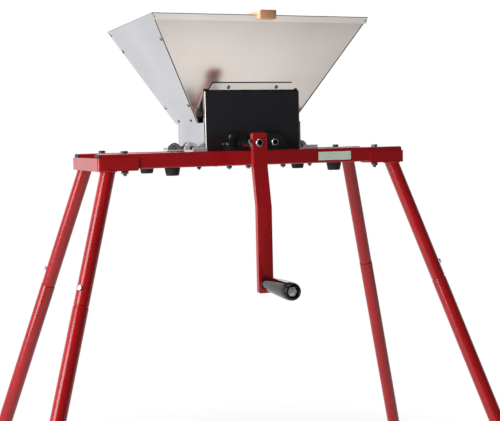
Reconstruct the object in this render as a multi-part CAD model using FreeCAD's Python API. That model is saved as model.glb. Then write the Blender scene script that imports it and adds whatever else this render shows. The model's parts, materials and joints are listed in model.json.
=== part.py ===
import FreeCAD, Part
import math
import os

Vector = FreeCAD.Vector

# Apple scratter on a four legged stand: a sheet steel hopper over two toothed rollers,
# which a hanging crank turns towards each other through a pair of equal gears.
# Lengths are in millimetres and angles in degrees. X runs along the rails, Y from front to
# back and Z up. Everything is drawn from the stand's front face (Y = 0) and from the rails'
# top (Z = 0), and is moved onto the floor when it is saved.

# Stand
rail_top_height = 770.0
stand_length = 661.0
stand_depth = 234.0
rail_end_inset = 6.5
rail_depth = 40.0
rail_height = 30.0
rail_wall = 2.0
rail_corner = 3.0
plug_lip = 2.5
plug_depth = 14.0
plug_clearance = 0.2
plug_lip_inset = 1.2
bracket_sheet = 3.0
bracket_reach = 80.0
bracket_drop = 8.0
bracket_flange = 42.0
rail_bolt_inset = 58.5

# Legs and feet
leg_diameter = 30.0
leg_wall = 2.0
leg_inset_x = 23.0
leg_inset_y = 14.0
leg_angle_x = 16.8
leg_angle_y = 14.36
seam_drop = 280.0
spigot_length = 48.0
spigot_clearance = 0.2
leg_bolt_rise = 33.0
foot_wall = 3.0
foot_sole = 5.0
foot_height = 34.0
foot_clearance = 0.1
leg_overrun = 100.0

# Rubber bumpers and label
bumper_x = 176.0
bumper_top_diameter = 31.0
bumper_low_diameter = 26.0
bumper_height = 16.0
bumper_floor = 4.0
bumper_well_diameter = 12.0
bumper_rounding = 1.5
label_x = 169.0
label_length = 74.0
label_height = 17.5
label_sheet = 0.5
label_rounding = 1.5
label_drop = 1.0

# Hopper
hopper_low_z = 57.0
hopper_low_half = 106.4
hopper_low_front = 71.0
hopper_low_back_inset = 20.0
hopper_top_z = 255.5
hopper_top_half = 227.0
hopper_top_front = -41.0
hopper_back_overhang = 79.5
hopper_sheet = 1.2
hem_height = 8.5
hem_thickness = 2.6
hem_rounding = 1.1
seam_flange = 15.0
seam_screw_shares = (0.18, 0.81)
throat_flange = 13.0
throat_screw_inset = 30.0
throat_strip_inset = 20.0
cut_reach = 10.0

# Mill housing
housing_sheet = 1.5
housing_front = 31.2
housing_back_inset = 28.0
housing_low_z = -28.0
housing_gap = 1.0
back_wall_inset = 47.0
back_wall_fold_z = 32.0
wall_hole_clearance = 1.2
guide_top_z = 50.0
guide_fold_z = 22.0
guide_low_z = -8.0
guide_x = 84.0
ear_x = 120.5
ear_radius = 15.5
ear_root = 2.0
ear_z = 2.5
ear_bolt_z = 7.0

# Foot brackets of the housing
foot_bracket_sheet = 3.0
foot_bracket_width = 30.0
foot_bracket_lip = 8.0
foot_bracket_start = 14.0

# Gear cover
cover_half = 103.0
cover_front = 29.2
cover_top_z = 120.0
cover_lift = 0.3
panel_gap = 0.3
cover_sheet = 1.5
cover_bend = 2.6
cover_return = 12.0
cover_flange = 18.5
cover_chamfer = 9.0
cover_flange_margin = 9.0
cover_screw_x = 52.0
cover_notch_clearance = 1.0

# Shafts and bearings
shaft_x = 38.0
shaft_z = 15.4
shaft_diameter = 15.0
shaft_bore = 8.5
shaft_bore_depth = 30.0
running_clearance = 0.05
end_gap = 0.3
bearing_width = 56.0
bearing_depth = 22.0
bearing_front = 6.5
bearing_foot = 12.0
bearing_arch = 23.0
bearing_bolt_offset = 20.5
bearing_fillet = 3.0
spot_face_diameter = 13.0
insert_diameter = 26.0
insert_clearance = 0.05
collar_diameter = 23.0
collar_width = 12.0
shaft_tail = 3.0
shaft_chamfer = 0.8

# Gears
gear_module = 4.0
gear_backlash = 0.5
gear_pressure_angle = 20.0
gear_front = 48.0
gear_width = 14.0
gear_hub_diameter = 30.0
gear_hub_width = 6.0
gear_web_recess = 3.0
gear_root_share = 1.25
gear_rim_share = 2.5

# Toothed rollers
roller_gap = 1.5
roller_tip_radius = 41.5
roller_hub_radius = 27.0
roller_teeth = 9
roller_discs = 7
roller_disc_gap = 1.2
roller_tooth_depth = 11.0
roller_tip_share = 0.22
roller_slope_share = 0.8
roller_root_share = 0.98
roller_bore_clearance = 0.05

# Crank
crank_width = 30.0
crank_thickness = 12.0
crank_front = -99.5
crank_jog = 17.0
crank_jog_top = -26.0
crank_jog_low = -107.0
crank_throw = 268.0
crank_end = 19.0
crank_corner = 8.0
crank_bend = 14.0
shaft_proud = 0.8
grip_length = 130.0
grip_base_diameter = 25.0
grip_end_diameter = 34.5
grip_bolt_diameter = 10.0
grip_clearance = 0.08
grip_recess_diameter = 22.0
grip_recess_depth = 11.0
grip_edge = 2.0
grip_crown = 20.0
grip_bolt_flats = 17.0

# Wooden pusher resting across the hopper
pusher_x = 1.0
pusher_width = 34.0
pusher_height = 17.5
pusher_over = 20.0
pusher_notch = 10.0
pusher_clearance = 0.3
pusher_edge = 1.5

# Fasteners: shank and across flats, head and nut heights
m4 = {"shank": 4.0, "flats": 7.0, "head_height": 2.0, "nut_height": 3.2}
m5 = {"shank": 5.0, "flats": 8.0, "head_height": 3.5, "nut_height": 4.0}
m6 = {"shank": 6.0, "flats": 10.0, "head_height": 4.0, "nut_height": 5.0}
m8 = {"shank": 8.0, "flats": 13.0, "head_height": 5.3, "nut_height": 6.5}
hole_clearance = 0.3
thread_clearance = 0.05
bolt_tail = 4.0

# Places worked out from the dimensions above
stand_half = stand_length / 2
rail_length = stand_length - 2 * rail_end_inset
rail_bolt_x = stand_half - rail_bolt_inset
leg_splay_x = math.tan(math.radians(leg_angle_x))
leg_splay_y = math.tan(math.radians(leg_angle_y))
leg_run = (rail_top_height - seam_drop + leg_overrun) * math.hypot(1, leg_splay_x, leg_splay_y)
rail_front = bracket_sheet
rail_middle = rail_front + rail_depth / 2
rail_rear_middle = stand_depth - rail_middle
leg_radius = leg_diameter / 2
shaft_radius = shaft_diameter / 2
bracket_low_z = -rail_height - bracket_sheet
hopper_low_back = stand_depth - hopper_low_back_inset
hopper_top_back = stand_depth + hopper_back_overhang
housing_back = stand_depth - housing_back_inset
back_wall_y = stand_depth - back_wall_inset
hopper_rise = hopper_top_z - hopper_low_z
slope_x = (hopper_top_half - hopper_low_half) / hopper_rise
slope_front = (hopper_low_front - hopper_top_front) / hopper_rise
slope_back = (hopper_top_back - hopper_low_back) / hopper_rise
hopper_rim_z = hopper_top_z + hem_height
housing_half = hopper_low_half - hopper_sheet * math.hypot(1, slope_x)
wall_half = housing_half - housing_sheet
seam_stack = 2 * hopper_sheet
throat_stack = hopper_sheet + housing_sheet
gear_teeth = round(2 * shaft_x / gear_module)
roller_front = hopper_low_front + housing_sheet + roller_gap
roller_length = back_wall_y - roller_gap - roller_front
shaft_rear = stand_depth - bearing_front + end_gap + collar_width + shaft_tail
crank_low_front = crank_front - crank_jog
grip_z = shaft_z - crank_throw
grip_front = crank_low_front - end_gap - grip_length
foot_y = leg_inset_y - leg_splay_y * (rail_top_height + bracket_low_z)
foot_reach = (leg_radius + foot_clearance + foot_wall) * math.hypot(1, leg_splay_y)
part_back = stand_depth - foot_y + foot_reach
to_floor = Vector(0, -(grip_front + part_back) / 2, rail_top_height)


def save(name, solids):
    shape = Part.makeCompound(solids) if len(solids) > 1 else solids[0].copy()
    shape.translate(to_floor)
    shape.exportStep("parts/" + name + ".step")


def box(x0, x1, y0, y1, z0, z1):
    return Part.makeBox(x1 - x0, y1 - y0, z1 - z0, Vector(x0, y0, z0))


def rod(radius, start, end):
    return Part.makeCylinder(radius, (end - start).Length, start, end - start)


def mirror_x(shape):
    return shape.mirror(Vector(0, 0, 0), Vector(1, 0, 0))


def mirror_y(shape):
    return shape.mirror(Vector(0, stand_depth / 2, 0), Vector(0, 1, 0))


def four_ways(shape):
    front = [shape, mirror_x(shape)]
    return front + [mirror_y(one) for one in front]


def polygon(points):
    return Part.Face(Part.makePolygon(points + points[:1]))


def along_x(points, x0, x1):
    return polygon([Vector(x0, y, z) for y, z in points]).extrude(Vector(x1 - x0, 0, 0))


def along_y(points, y0, y1):
    return polygon([Vector(x, y0, z) for x, z in points]).extrude(Vector(0, y1 - y0, 0))


def thicken(points, thickness):
    """Closed outline of a folded sheet: a line of points and its offset to the left."""
    steps = [(b[0] - a[0], b[1] - a[1]) for a, b in zip(points, points[1:])]
    normals = [(-v / math.hypot(u, v), u / math.hypot(u, v)) for u, v in steps]
    normals = normals[:1] + normals + normals[-1:]
    offset = []
    for (u, v), (a, b), (c, d) in zip(points, normals, normals[1:]):
        share = thickness / (1 + a * c + b * d)
        offset.append((u + share * (a + c), v + share * (b + d)))
    return points + offset[::-1]


def edges_along(shape, axis, wanted):
    """Straight edges parallel to an axis whose middle point passes the test."""
    found = []
    for edge in shape.Edges:
        first, last = edge.firstVertex().Point, edge.lastVertex().Point
        way = last - first
        if way.Length > 0 and way.cross(axis).Length < 1e-6 * way.Length:
            if wanted((first + last) * 0.5):
                found.append(edge)
    return found


def hexagon(flats, height, base, axis):
    radius = flats / math.sqrt(3)
    turns = [math.radians(60 * k) for k in range(6)]
    solid = polygon([Vector(radius * math.cos(a), radius * math.sin(a), 0) for a in turns])
    solid = solid.extrude(Vector(0, 0, height))
    solid.Placement = FreeCAD.Placement(base, FreeCAD.Rotation(Vector(0, 0, 1), axis))
    return solid


def unit(vector):
    return Vector(vector).normalize()


def bolt(size, seat, axis, length):
    """Hex bolt with its head on the seat and its shank running along the axis."""
    axis = unit(axis)
    head = hexagon(size["flats"], size["head_height"], seat - axis * size["head_height"], axis)
    return head.fuse(rod(size["shank"] / 2, seat, seat + axis * length)).removeSplitter()


def nut(size, seat, axis):
    axis = unit(axis)
    body = hexagon(size["flats"], size["nut_height"], seat, axis)
    bore = size["shank"] / 2 + thread_clearance
    return body.cut(rod(bore, seat - axis, seat + axis * (size["nut_height"] + 1)))


def hole(size, seat, axis, length):
    axis = unit(axis)
    return rod(size["shank"] / 2 + hole_clearance, seat - axis, seat + axis * (length + 1))


def button_screw(size, seat, axis, length):
    """Low domed screw for sheet work."""
    axis = unit(axis)
    radius = size["shank"]
    rise = size["head_height"]
    sphere = (radius ** 2 + rise ** 2) / (2 * rise)
    ball = Part.makeSphere(sphere, seat + axis * (sphere - rise))
    dome = ball.common(rod(radius, seat - axis * sphere, seat))
    return dome.fuse(rod(size["shank"] / 2, seat, seat + axis * length)).removeSplitter()


# Stand

def rail_holes():
    """Vertical clearance holes through the front rail, to the left of its middle."""
    down = Vector(0, 0, -1)
    places = [(m8, rail_bolt_x, rail_middle), (m5, ear_x, rail_middle)]
    for offset in (-bearing_bolt_offset, bearing_bolt_offset):
        places.append((m6, shaft_x + offset, bearing_front + bearing_depth / 2))
    holes = [hole(size, Vector(-x, y, 0), down, rail_height) for size, x, y in places]
    bumper_start = Vector(-bumper_x, rail_middle, -rail_height + rail_wall)
    holes.append(hole(m5, bumper_start, down, rail_wall))
    return holes


def front_rail():
    x_end = rail_length / 2
    rail = box(-x_end, x_end, rail_front, rail_front + rail_depth, -rail_height, 0)
    rail = rail.makeFillet(rail_corner, edges_along(rail, Vector(1, 0, 0), lambda p: True))
    inner = box(-x_end - 1, x_end + 1, rail_front + rail_wall, rail_front + rail_depth - rail_wall,
                -rail_height + rail_wall, -rail_wall)
    corner = rail_corner - rail_wall
    inner = inner.makeFillet(corner, edges_along(inner, Vector(1, 0, 0), lambda p: True))
    holes = rail_holes()
    return rail.cut([inner] + holes + [mirror_x(one) for one in holes])


def rail_plug():
    """Cap pushed into the left end of the front rail."""
    end = -rail_length / 2
    y0, y1 = rail_front, rail_front + rail_depth
    edge = plug_lip_inset
    lip = box(end - plug_lip, end, y0 + edge, y1 - edge, -rail_height + edge, -edge)
    lip = lip.makeFillet(rail_corner - edge, edges_along(lip, Vector(1, 0, 0), lambda p: True))
    inset = rail_wall + plug_clearance
    stem = box(end, end + plug_depth, y0 + inset, y1 - inset, -rail_height + inset, -inset)
    stem = stem.makeFillet(rail_corner - rail_wall,
                           edges_along(stem, Vector(1, 0, 0), lambda p: True))
    hollow = box(end + rail_wall, end + plug_depth + 1, y0 + 2 * inset, y1 - 2 * inset,
                 -rail_height + 2 * inset, -2 * inset)
    return lip.fuse(stem).removeSplitter().cut(hollow)


def end_bracket():
    """Angle section bent round the left end of the stand, with a flange under the rails."""
    outer = stand_half
    inner = outer - bracket_reach
    band = box(-outer, -inner, 0, stand_depth, bracket_low_z, -bracket_drop)
    band = band.makeFillet(2 * bracket_sheet, edges_along(
        band, Vector(0, 0, 1), lambda p: p.x < -inner - 1))
    room = box(-outer + bracket_sheet, -inner + 1, bracket_sheet, stand_depth - bracket_sheet,
               -rail_height, -bracket_drop + 1)
    room = room.makeFillet(bracket_sheet, edges_along(
        room, Vector(0, 0, 1), lambda p: p.x < -inner - 1))
    middle = box(-outer + bracket_flange, -inner + 1, rail_front + bracket_flange,
                 stand_depth - rail_front - bracket_flange, bracket_low_z - 1, 0)
    bracket = band.cut([room, middle])
    seat = Vector(-rail_bolt_x, rail_middle, -rail_height)
    drill = hole(m8, seat, Vector(0, 0, -1), bracket_sheet)
    return bracket.cut([drill, mirror_y(drill)])


def rail_bolt():
    seat = Vector(-rail_bolt_x, rail_middle, 0)
    length = rail_height + bracket_sheet + m8["nut_height"] + bolt_tail
    return bolt(m8, seat, Vector(0, 0, -1), length)


def rail_nut():
    return nut(m8, Vector(-rail_bolt_x, rail_middle, bracket_low_z), Vector(0, 0, -1))


def leg_line():
    """Top point and unit direction of the front left leg, and its bolt's direction."""
    top = Vector(-stand_half + leg_inset_x, leg_inset_y, bracket_low_z)
    down = Vector(-leg_splay_x, -leg_splay_y, -1)
    out = unit(Vector(-1, 0, leg_splay_x))
    seam = top + down * (seam_drop + bracket_low_z)
    return top, seam, unit(down), out


def leg_bolt_seat(side):
    top, seam, down, out = leg_line()
    return seam - down * leg_bolt_rise + out * (side * leg_radius)


def leg_drill():
    out = leg_line()[3]
    return hole(m6, leg_bolt_seat(1), out * -1, leg_diameter)


def upper_leg():
    top, seam, down, out = leg_line()
    start = top - down * leg_diameter
    tube = rod(leg_radius, start, seam).cut(rod(leg_radius - leg_wall, start, seam + down))
    above = box(-2 * stand_half, 0, -stand_depth, stand_depth, bracket_low_z, rail_top_height)
    return tube.cut([above, leg_drill()])


def lower_leg():
    top, seam, down, out = leg_line()
    end = seam + down * leg_run
    spigot_top = seam - down * spigot_length
    spigot_radius = leg_radius - leg_wall - spigot_clearance
    tube = rod(leg_radius, seam, end).fuse(rod(spigot_radius, spigot_top, end))
    bore = rod(spigot_radius - leg_wall, spigot_top - down, end + down)
    floor = -rail_top_height + foot_sole
    below = box(-3 * stand_half, 0, -2 * stand_depth, stand_depth, floor - stand_length, floor)
    return tube.removeSplitter().cut([bore, below, leg_drill()])


def foot_cap():
    top, seam, down, out = leg_line()
    end = seam + down * leg_run
    floor = -rail_top_height
    reach = box(-3 * stand_half, 0, -2 * stand_depth, stand_depth, floor, floor + foot_height)
    sole = box(-3 * stand_half, 0, -2 * stand_depth, stand_depth, floor, floor + foot_sole)
    cap = rod(leg_radius + foot_clearance + foot_wall, seam, end).common(reach)
    socket = rod(leg_radius + foot_clearance, seam, end).cut(sole)
    return cap.cut(socket)


def leg_bolt():
    out = leg_line()[3]
    length = leg_diameter + m6["nut_height"] + bolt_tail
    return bolt(m6, leg_bolt_seat(1), out * -1, length)


def leg_nut():
    out = leg_line()[3]
    return nut(m6, leg_bolt_seat(-1), out * -1)


def bumper():
    top = -rail_height
    cone = Part.makeCone(bumper_top_diameter / 2, bumper_low_diameter / 2, bumper_height,
                         Vector(-bumper_x, rail_middle, top), Vector(0, 0, -1))
    rim = [edge for edge in cone.Edges if edge.BoundBox.ZMax < top - bumper_height + 0.1]
    cone = cone.makeFillet(bumper_rounding, rim[:1])
    seat = Vector(-bumper_x, rail_middle, top)
    low = seat - Vector(0, 0, bumper_height + 1)
    well = rod(bumper_well_diameter / 2, seat - Vector(0, 0, bumper_floor), low)
    return cone.cut([well, hole(m5, seat, Vector(0, 0, -1), bumper_floor)])


def bumper_screw():
    seat = Vector(-bumper_x, rail_middle, -rail_height - bumper_floor)
    return bolt(m5, seat, Vector(0, 0, 1), bumper_floor + rail_wall + bolt_tail)


def blank_label():
    middle = -rail_height / 2 - label_drop
    y = rail_front
    label = box(label_x - label_length / 2, label_x + label_length / 2, y - label_sheet, y,
                middle - label_height / 2, middle + label_height / 2)
    return label.makeFillet(label_rounding, edges_along(label, Vector(0, 1, 0), lambda p: True))


# Hopper

def hopper_x(z):
    return hopper_low_half + slope_x * (z - hopper_low_z)


def hopper_front_y(z):
    return hopper_low_front - slope_front * (z - hopper_low_z)


def hopper_back_y(z):
    return hopper_low_back + slope_back * (z - hopper_low_z)


def level(slope, layers):
    """Level distance across a number of sheets on a wall of this slope."""
    return layers * hopper_sheet * math.hypot(1, slope)


def hopper_block(layers, over):
    """Tapered block inside so many layers of sheet, longer at both ends by over."""
    loops = []
    for z in (hopper_low_z - over, hopper_top_z + over):
        x = hopper_x(z) - level(slope_x, layers)
        y0 = hopper_front_y(z) + level(slope_front, layers)
        y1 = hopper_back_y(z) - level(slope_back, layers)
        loops.append([Vector(-x, y0, z), Vector(x, y0, z), Vector(x, y1, z), Vector(-x, y1, z)])
    low, high = loops
    faces = [polygon(low[::-1]), polygon(high)]
    for k in range(4):
        n = (k + 1) % 4
        faces.append(polygon([low[k], low[n], high[n], high[k]]))
    return Part.makeSolid(Part.makeShell(faces))


def hopper_layer(number):
    """One layer of sheet all round the hopper, counted from the outside."""
    return hopper_block(number - 1, 0).cut(hopper_block(number, 2))


def core_between_sides(layers):
    """Everything between the side panels and so many layers of sheet in from their outside."""
    z0, z1 = hopper_low_z - cut_reach, hopper_top_z + cut_reach
    inset = level(slope_x, layers)
    points = [(-hopper_x(z0) + inset, z0), (hopper_x(z0) - inset, z0),
              (hopper_x(z1) - inset, z1), (-hopper_x(z1) + inset, z1)]
    return along_y(points, hopper_top_front - cut_reach, hopper_top_back + cut_reach)


def front_half():
    """Room in front of the hopper's middle, which follows no panel."""
    middle = (hopper_low_front + hopper_low_back) / 2
    x = hopper_top_half + cut_reach
    return box(-x, x, hopper_top_front - cut_reach, middle,
               hopper_low_z - cut_reach, hopper_rim_z + cut_reach)


def hem_bar(x0, x1, y0, y1):
    """Upright bar along the rim with a rounded top."""
    bar = box(x0, x1, y0, y1, hopper_top_z, hopper_rim_z)
    axis = Vector(1, 0, 0) if x1 - x0 > y1 - y0 else Vector(0, 1, 0)
    top = edges_along(bar, axis, lambda p: p.z > hopper_rim_z - hem_rounding)
    return bar.makeFillet(hem_rounding, top)


def end_seam_flanges(front):
    """Strips of the front or back panel that are folded inside both side panels."""
    z0, z1 = hopper_low_z - cut_reach, hopper_top_z + cut_reach
    points = []
    for z in (z0, z1):
        if front:
            start = hopper_front_y(z) + level(slope_front, 1)
            points.append((start, start + seam_flange, z))
        else:
            start = hopper_back_y(z) - level(slope_back, 1)
            points.append((start - seam_flange, start, z))
    outline = [(points[0][0], z0), (points[0][1], z0), (points[1][1], z1), (points[1][0], z1)]
    band = along_x(outline, -hopper_top_half - cut_reach, hopper_top_half + cut_reach)
    return hopper_layer(2).common(band).cut(core_between_sides(2))


def end_panel(front):
    """Front or back hopper panel with its hem and its two folded seams."""
    layer = hopper_layer(1).common(core_between_sides(1))
    if front:
        slab = layer.common(front_half())
        y0, y1 = hopper_top_front, hopper_top_front + hem_thickness
    else:
        slab = layer.cut(front_half())
        y0, y1 = hopper_top_back - hem_thickness, hopper_top_back
    x = hopper_top_half - hem_thickness
    panel = slab.fuse([end_seam_flanges(front), hem_bar(-x, x, y0, y1)]).removeSplitter()
    return panel.cut(seam_holes())


def left_panel():
    slab = hopper_layer(1).cut(core_between_sides(1))
    left = box(-hopper_top_half - cut_reach, 0, hopper_top_front - cut_reach,
               hopper_top_back + cut_reach, hopper_low_z - cut_reach, hopper_rim_z + cut_reach)
    slab = slab.common(left)
    x = hopper_top_half
    hem = hem_bar(-x, -x + hem_thickness, hopper_top_front, hopper_top_back)
    return slab.fuse(hem).removeSplitter().cut(seam_holes() + throat_holes())


def side_inward():
    """Direction square to the left panel, pointing into the hopper."""
    return unit(Vector(1, 0, slope_x))


def seam_seats():
    """Outer screw seats on the left panel along its front and back seams."""
    seats = []
    for share in seam_screw_shares:
        z = hopper_low_z + share * hopper_rise
        inset = level(slope_front, 1) + seam_flange / 2
        for y in (hopper_front_y(z) + inset, hopper_back_y(z) - inset):
            seats.append(Vector(-hopper_x(z), y, z))
    return seats


def throat_seats():
    z = hopper_low_z + throat_flange / 2
    ends = (hopper_low_front + throat_screw_inset, hopper_low_back - throat_screw_inset)
    return [Vector(-hopper_x(z), y, z) for y in ends]


def sheet_holes(seats, stack):
    holes = [hole(m4, seat, side_inward(), stack) for seat in seats]
    return holes + [mirror_x(one) for one in holes]


def seam_holes():
    return sheet_holes(seam_seats(), seam_stack)


def throat_holes():
    return sheet_holes(throat_seats(), throat_stack)


def sheet_screws(seats, stack):
    """Domed screws and their nuts for one side, then the other."""
    inward = side_inward()
    solids = []
    for seat in seats:
        solids.append(button_screw(m4, seat, inward, stack + m4["nut_height"] + 1))
        solids.append(nut(m4, seat + inward * stack, inward))
    return solids + [mirror_x(one) for one in solids]


# Mill housing

def shaft_holes(y0, y1, radius):
    """Cylinders along both shaft lines from y0 to y1."""
    return [rod(radius, Vector(x, y0, shaft_z), Vector(x, y1, shaft_z))
            for x in (-shaft_x, shaft_x)]


def ear(y):
    """Rounded ears on both sides of a cross wall, which pass through the side walls."""
    ears = []
    for side in (-1, 1):
        x = side * ear_x
        disc = rod(ear_radius, Vector(x, y, ear_z), Vector(x, y + housing_sheet, ear_z))
        x0, x1 = sorted((side * (wall_half - ear_root), x))
        tongue = box(x0, x1, y, y + housing_sheet, ear_z - ear_radius / 2, ear_z + ear_radius / 2)
        ears.append(disc.fuse(tongue).cut(box(-ear_x * 2, ear_x * 2, y - 1, y + housing_sheet + 1,
                                              ear_z - 2 * ear_radius, foot_bracket_sheet)))
    return ears


def ear_drills(y0, y1):
    return [rod(m5["shank"] / 2 + hole_clearance, Vector(x, y0, ear_bolt_z), Vector(x, y1, ear_bolt_z))
            for x in (-ear_x, ear_x)]


def front_wall():
    y = hopper_low_front
    x = wall_half
    wall = box(-x, x, y, y + housing_sheet, housing_low_z, hopper_low_z)
    wall = wall.fuse(ear(y)).removeSplitter()
    drills = shaft_holes(y - 1, y + housing_sheet + 1, shaft_radius + wall_hole_clearance)
    return wall.cut(drills + ear_drills(y - 1, y + housing_sheet + 1))


def back_wall():
    """Upright behind the rollers, then leaning out to meet the hopper."""
    x = wall_half
    points = [(back_wall_y, housing_low_z), (back_wall_y, back_wall_fold_z),
              (housing_back - housing_sheet, hopper_low_z)]
    wall = along_x(thicken(points, -housing_sheet), -x, x)
    wall = wall.common(box(-x, x, 0, stand_depth, housing_low_z, hopper_low_z))
    wall = wall.fuse(ear(back_wall_y)).removeSplitter()
    y0, y1 = back_wall_y - 1, back_wall_y + housing_sheet + 1
    drills = shaft_holes(y0, y1, shaft_radius + wall_hole_clearance)
    return wall.cut(drills + ear_drills(y0, y1))


def throat_strip():
    """Upper edge of the left side wall, folded out along the inside of the hopper."""
    y0 = hopper_low_front + throat_strip_inset
    y1 = hopper_low_back - throat_strip_inset
    top_z = hopper_low_z + throat_flange
    points = [(-housing_half, hopper_low_z - housing_sheet), (-housing_half, hopper_low_z),
              (-hopper_x(top_z) + level(slope_x, 1), top_z)]
    return along_y(thicken(points, -housing_sheet), y0, y1)


def left_side_wall():
    x0, x1 = -housing_half, -wall_half
    rail_back = rail_front + rail_depth + housing_gap
    outline = [(housing_front, 0), (rail_back, 0), (rail_back, housing_low_z),
               (stand_depth - rail_back, housing_low_z), (stand_depth - rail_back, 0),
               (housing_back, 0), (housing_back, hopper_low_z), (housing_front, hopper_low_z)]
    wall = along_x(outline, x0, x1)
    wall = wall.fuse(throat_strip()).removeSplitter()
    gap = housing_sheet / 4
    slots = []
    for y in (hopper_low_front, back_wall_y):
        slots.append(box(x0 - 1, x1 + 1, y - gap, y + housing_sheet + gap,
                         foot_bracket_sheet - gap, ear_z + ear_radius / 2 + gap))
    return wall.cut(slots + throat_holes())


def guide_plate():
    """Left deflector that sends fruit from the side wall onto the roller."""
    wall_x = -wall_half
    points = [(wall_x, guide_top_z), (-guide_x, guide_fold_z), (-guide_x, guide_low_z)]
    outline = thicken(points, -housing_sheet)
    y0 = hopper_low_front + housing_sheet
    return along_y(outline, y0, back_wall_y).common(
        box(wall_x, 0, y0, back_wall_y, guide_low_z, guide_top_z))


def foot_bracket(y_lug, y_foot_end):
    """Bracket on a rail with a half round lug against an ear of the housing."""
    t = foot_bracket_sheet
    way = 1 if y_lug > y_foot_end else -1
    x0, x1 = -ear_x - foot_bracket_width / 2, -ear_x + foot_bracket_width / 2
    foot = box(x0, x1, min(y_lug, y_foot_end), max(y_lug, y_foot_end), 0, t)
    lug_inner = y_lug - way * t
    lug = rod(ear_radius, Vector(-ear_x, min(y_lug, lug_inner), ear_z),
              Vector(-ear_x, max(y_lug, lug_inner), ear_z))
    lug = lug.cut(box(x0 - 1, x1 + 1, min(y_lug, lug_inner) - 1, max(y_lug, lug_inner) + 1,
                      -2 * ear_radius, 0))
    lip_inner = y_foot_end + way * t
    lip = box(x0, x1, min(y_foot_end, lip_inner), max(y_foot_end, lip_inner), 0, foot_bracket_lip)
    bracket = foot.fuse([lug, lip]).removeSplitter()
    drill = rod(m5["shank"] / 2 + hole_clearance,
                Vector(-ear_x, min(y_lug, lug_inner) - 1, ear_bolt_z),
                Vector(-ear_x, max(y_lug, lug_inner) + 1, ear_bolt_z))
    rail_y = rail_middle if way > 0 else rail_rear_middle
    down = hole(m5, Vector(-ear_x, rail_y, t), Vector(0, 0, -1), t)
    return bracket.cut([drill, down])


def foot_bracket_bolts():
    """Bolts through the rails and through the lugs, with their nuts, on the left side."""
    down = Vector(0, 0, -1)
    solids = []
    for y in (rail_middle, rail_rear_middle):
        seat = Vector(-ear_x, y, foot_bracket_sheet)
        length = foot_bracket_sheet + rail_height
        solids.append(bolt(m5, seat, down, length + m5["nut_height"] + bolt_tail / 2))
        solids.append(nut(m5, seat + down * length, down))
    stack = foot_bracket_sheet + housing_sheet
    front_seat = Vector(-ear_x, hopper_low_front - foot_bracket_sheet, ear_bolt_z)
    back_seat = Vector(-ear_x, back_wall_y + stack, ear_bolt_z)
    for seat, way in ((front_seat, Vector(0, 1, 0)), (back_seat, Vector(0, -1, 0))):
        solids.append(bolt(m5, seat, way, stack + m5["nut_height"] + bolt_tail / 2))
        solids.append(nut(m5, seat + way * stack, way))
    return solids


# Gear cover

def gear_cover():
    """Tray with bent edges, open at the back and below, with a flange on the hopper."""
    x, y0, y1 = cover_half, cover_front, cover_front + cover_return
    outer = box(-x, x, y0, y1, cover_lift, cover_top_z)
    outer = outer.makeFillet(cover_bend, front_edges(outer))
    x, y0 = x - cover_sheet, y0 + cover_sheet
    inner = box(-x, x, y0, y1 + 1, cover_lift - 1, cover_top_z - cover_sheet)
    inner = inner.makeFillet(cover_bend - cover_sheet, front_edges(inner))
    tray = outer.cut([inner, behind_front_panel()])
    shell = tray.fuse(cover_flange_strip()).removeSplitter()
    return shell.cut(cover_flange_corners() + cover_notches() + cover_drills())


def front_edges(block):
    """Both upright front edges of a block and its upper front edge."""
    box_of = block.BoundBox
    upright = edges_along(block, Vector(0, 0, 1), lambda p: p.y < box_of.YMin + 1)
    level_edge = edges_along(block, Vector(1, 0, 0),
                             lambda p: p.y < box_of.YMin + 1 and p.z > box_of.ZMax - 1)
    return upright + level_edge


def cover_flange_strip():
    top_z = cover_top_z - cover_sheet
    tip_z = cover_top_z + cover_flange / math.hypot(1, slope_front)
    line = [(hopper_front_y(z) - panel_gap, z) for z in (top_z, tip_z)]
    return along_x(thicken(line, cover_sheet), -cover_half, cover_half)


def behind_front_panel():
    """Room that the cover leaves free for the sloping panel."""
    ends = (hopper_low_z, hopper_top_z)
    slope = [(hopper_front_y(z) - panel_gap, z) for z in ends]
    rear = [(hopper_low_back, z) for z in reversed(ends)]
    return along_x(slope + rear, -hopper_top_half, hopper_top_half)


def cover_flange_corners():
    """Wedges that narrow the flange and slant its ends."""
    z0 = cover_top_z
    z1 = cover_top_z + cover_flange + cut_reach
    x_low = cover_half - cover_flange_margin
    lean = cover_chamfer * (z1 - z0) / cover_flange
    x_out = cover_half + cut_reach
    wedge = [(x_low, z0), (x_out, z0), (x_out, z1), (x_low - lean, z1)]
    right = along_y(wedge, 0, hopper_low_front)
    return [right, mirror_x(right)]


def cover_notches():
    """Slots from the lower edge that let the cover drop over the two shafts."""
    radius = shaft_radius + cover_notch_clearance
    notches = shaft_holes(cover_front - 1, cover_front + cover_sheet + 1, radius)
    for x in (-shaft_x, shaft_x):
        notches.append(box(x - radius, x + radius, cover_front - 1,
                           cover_front + cover_sheet + 1, -1, shaft_z))
    return notches


def panel_seats():
    """Screw seats on the cover's flange, and the direction into the hopper."""
    run = math.hypot(1, slope_front)
    inward = Vector(0, 1 / run, slope_front / run)
    z = cover_top_z + cover_flange / run / 2
    surface = hopper_front_y(z) - panel_gap
    seats = [Vector(x, surface, z) - inward * cover_sheet for x in (-cover_screw_x, cover_screw_x)]
    return seats, inward


def cover_drills():
    seats, inward = panel_seats()
    return [hole(m4, seat, inward, cover_sheet + hopper_sheet + 2) for seat in seats]


def cover_screws():
    seats, inward = panel_seats()
    stack = cover_sheet + panel_gap + hopper_sheet
    solids = []
    for seat in seats:
        solids.append(button_screw(m4, seat, inward, stack + m4["nut_height"] + 1))
        solids.append(nut(m4, seat + inward * stack, inward))
    return solids


# Bearings

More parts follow.
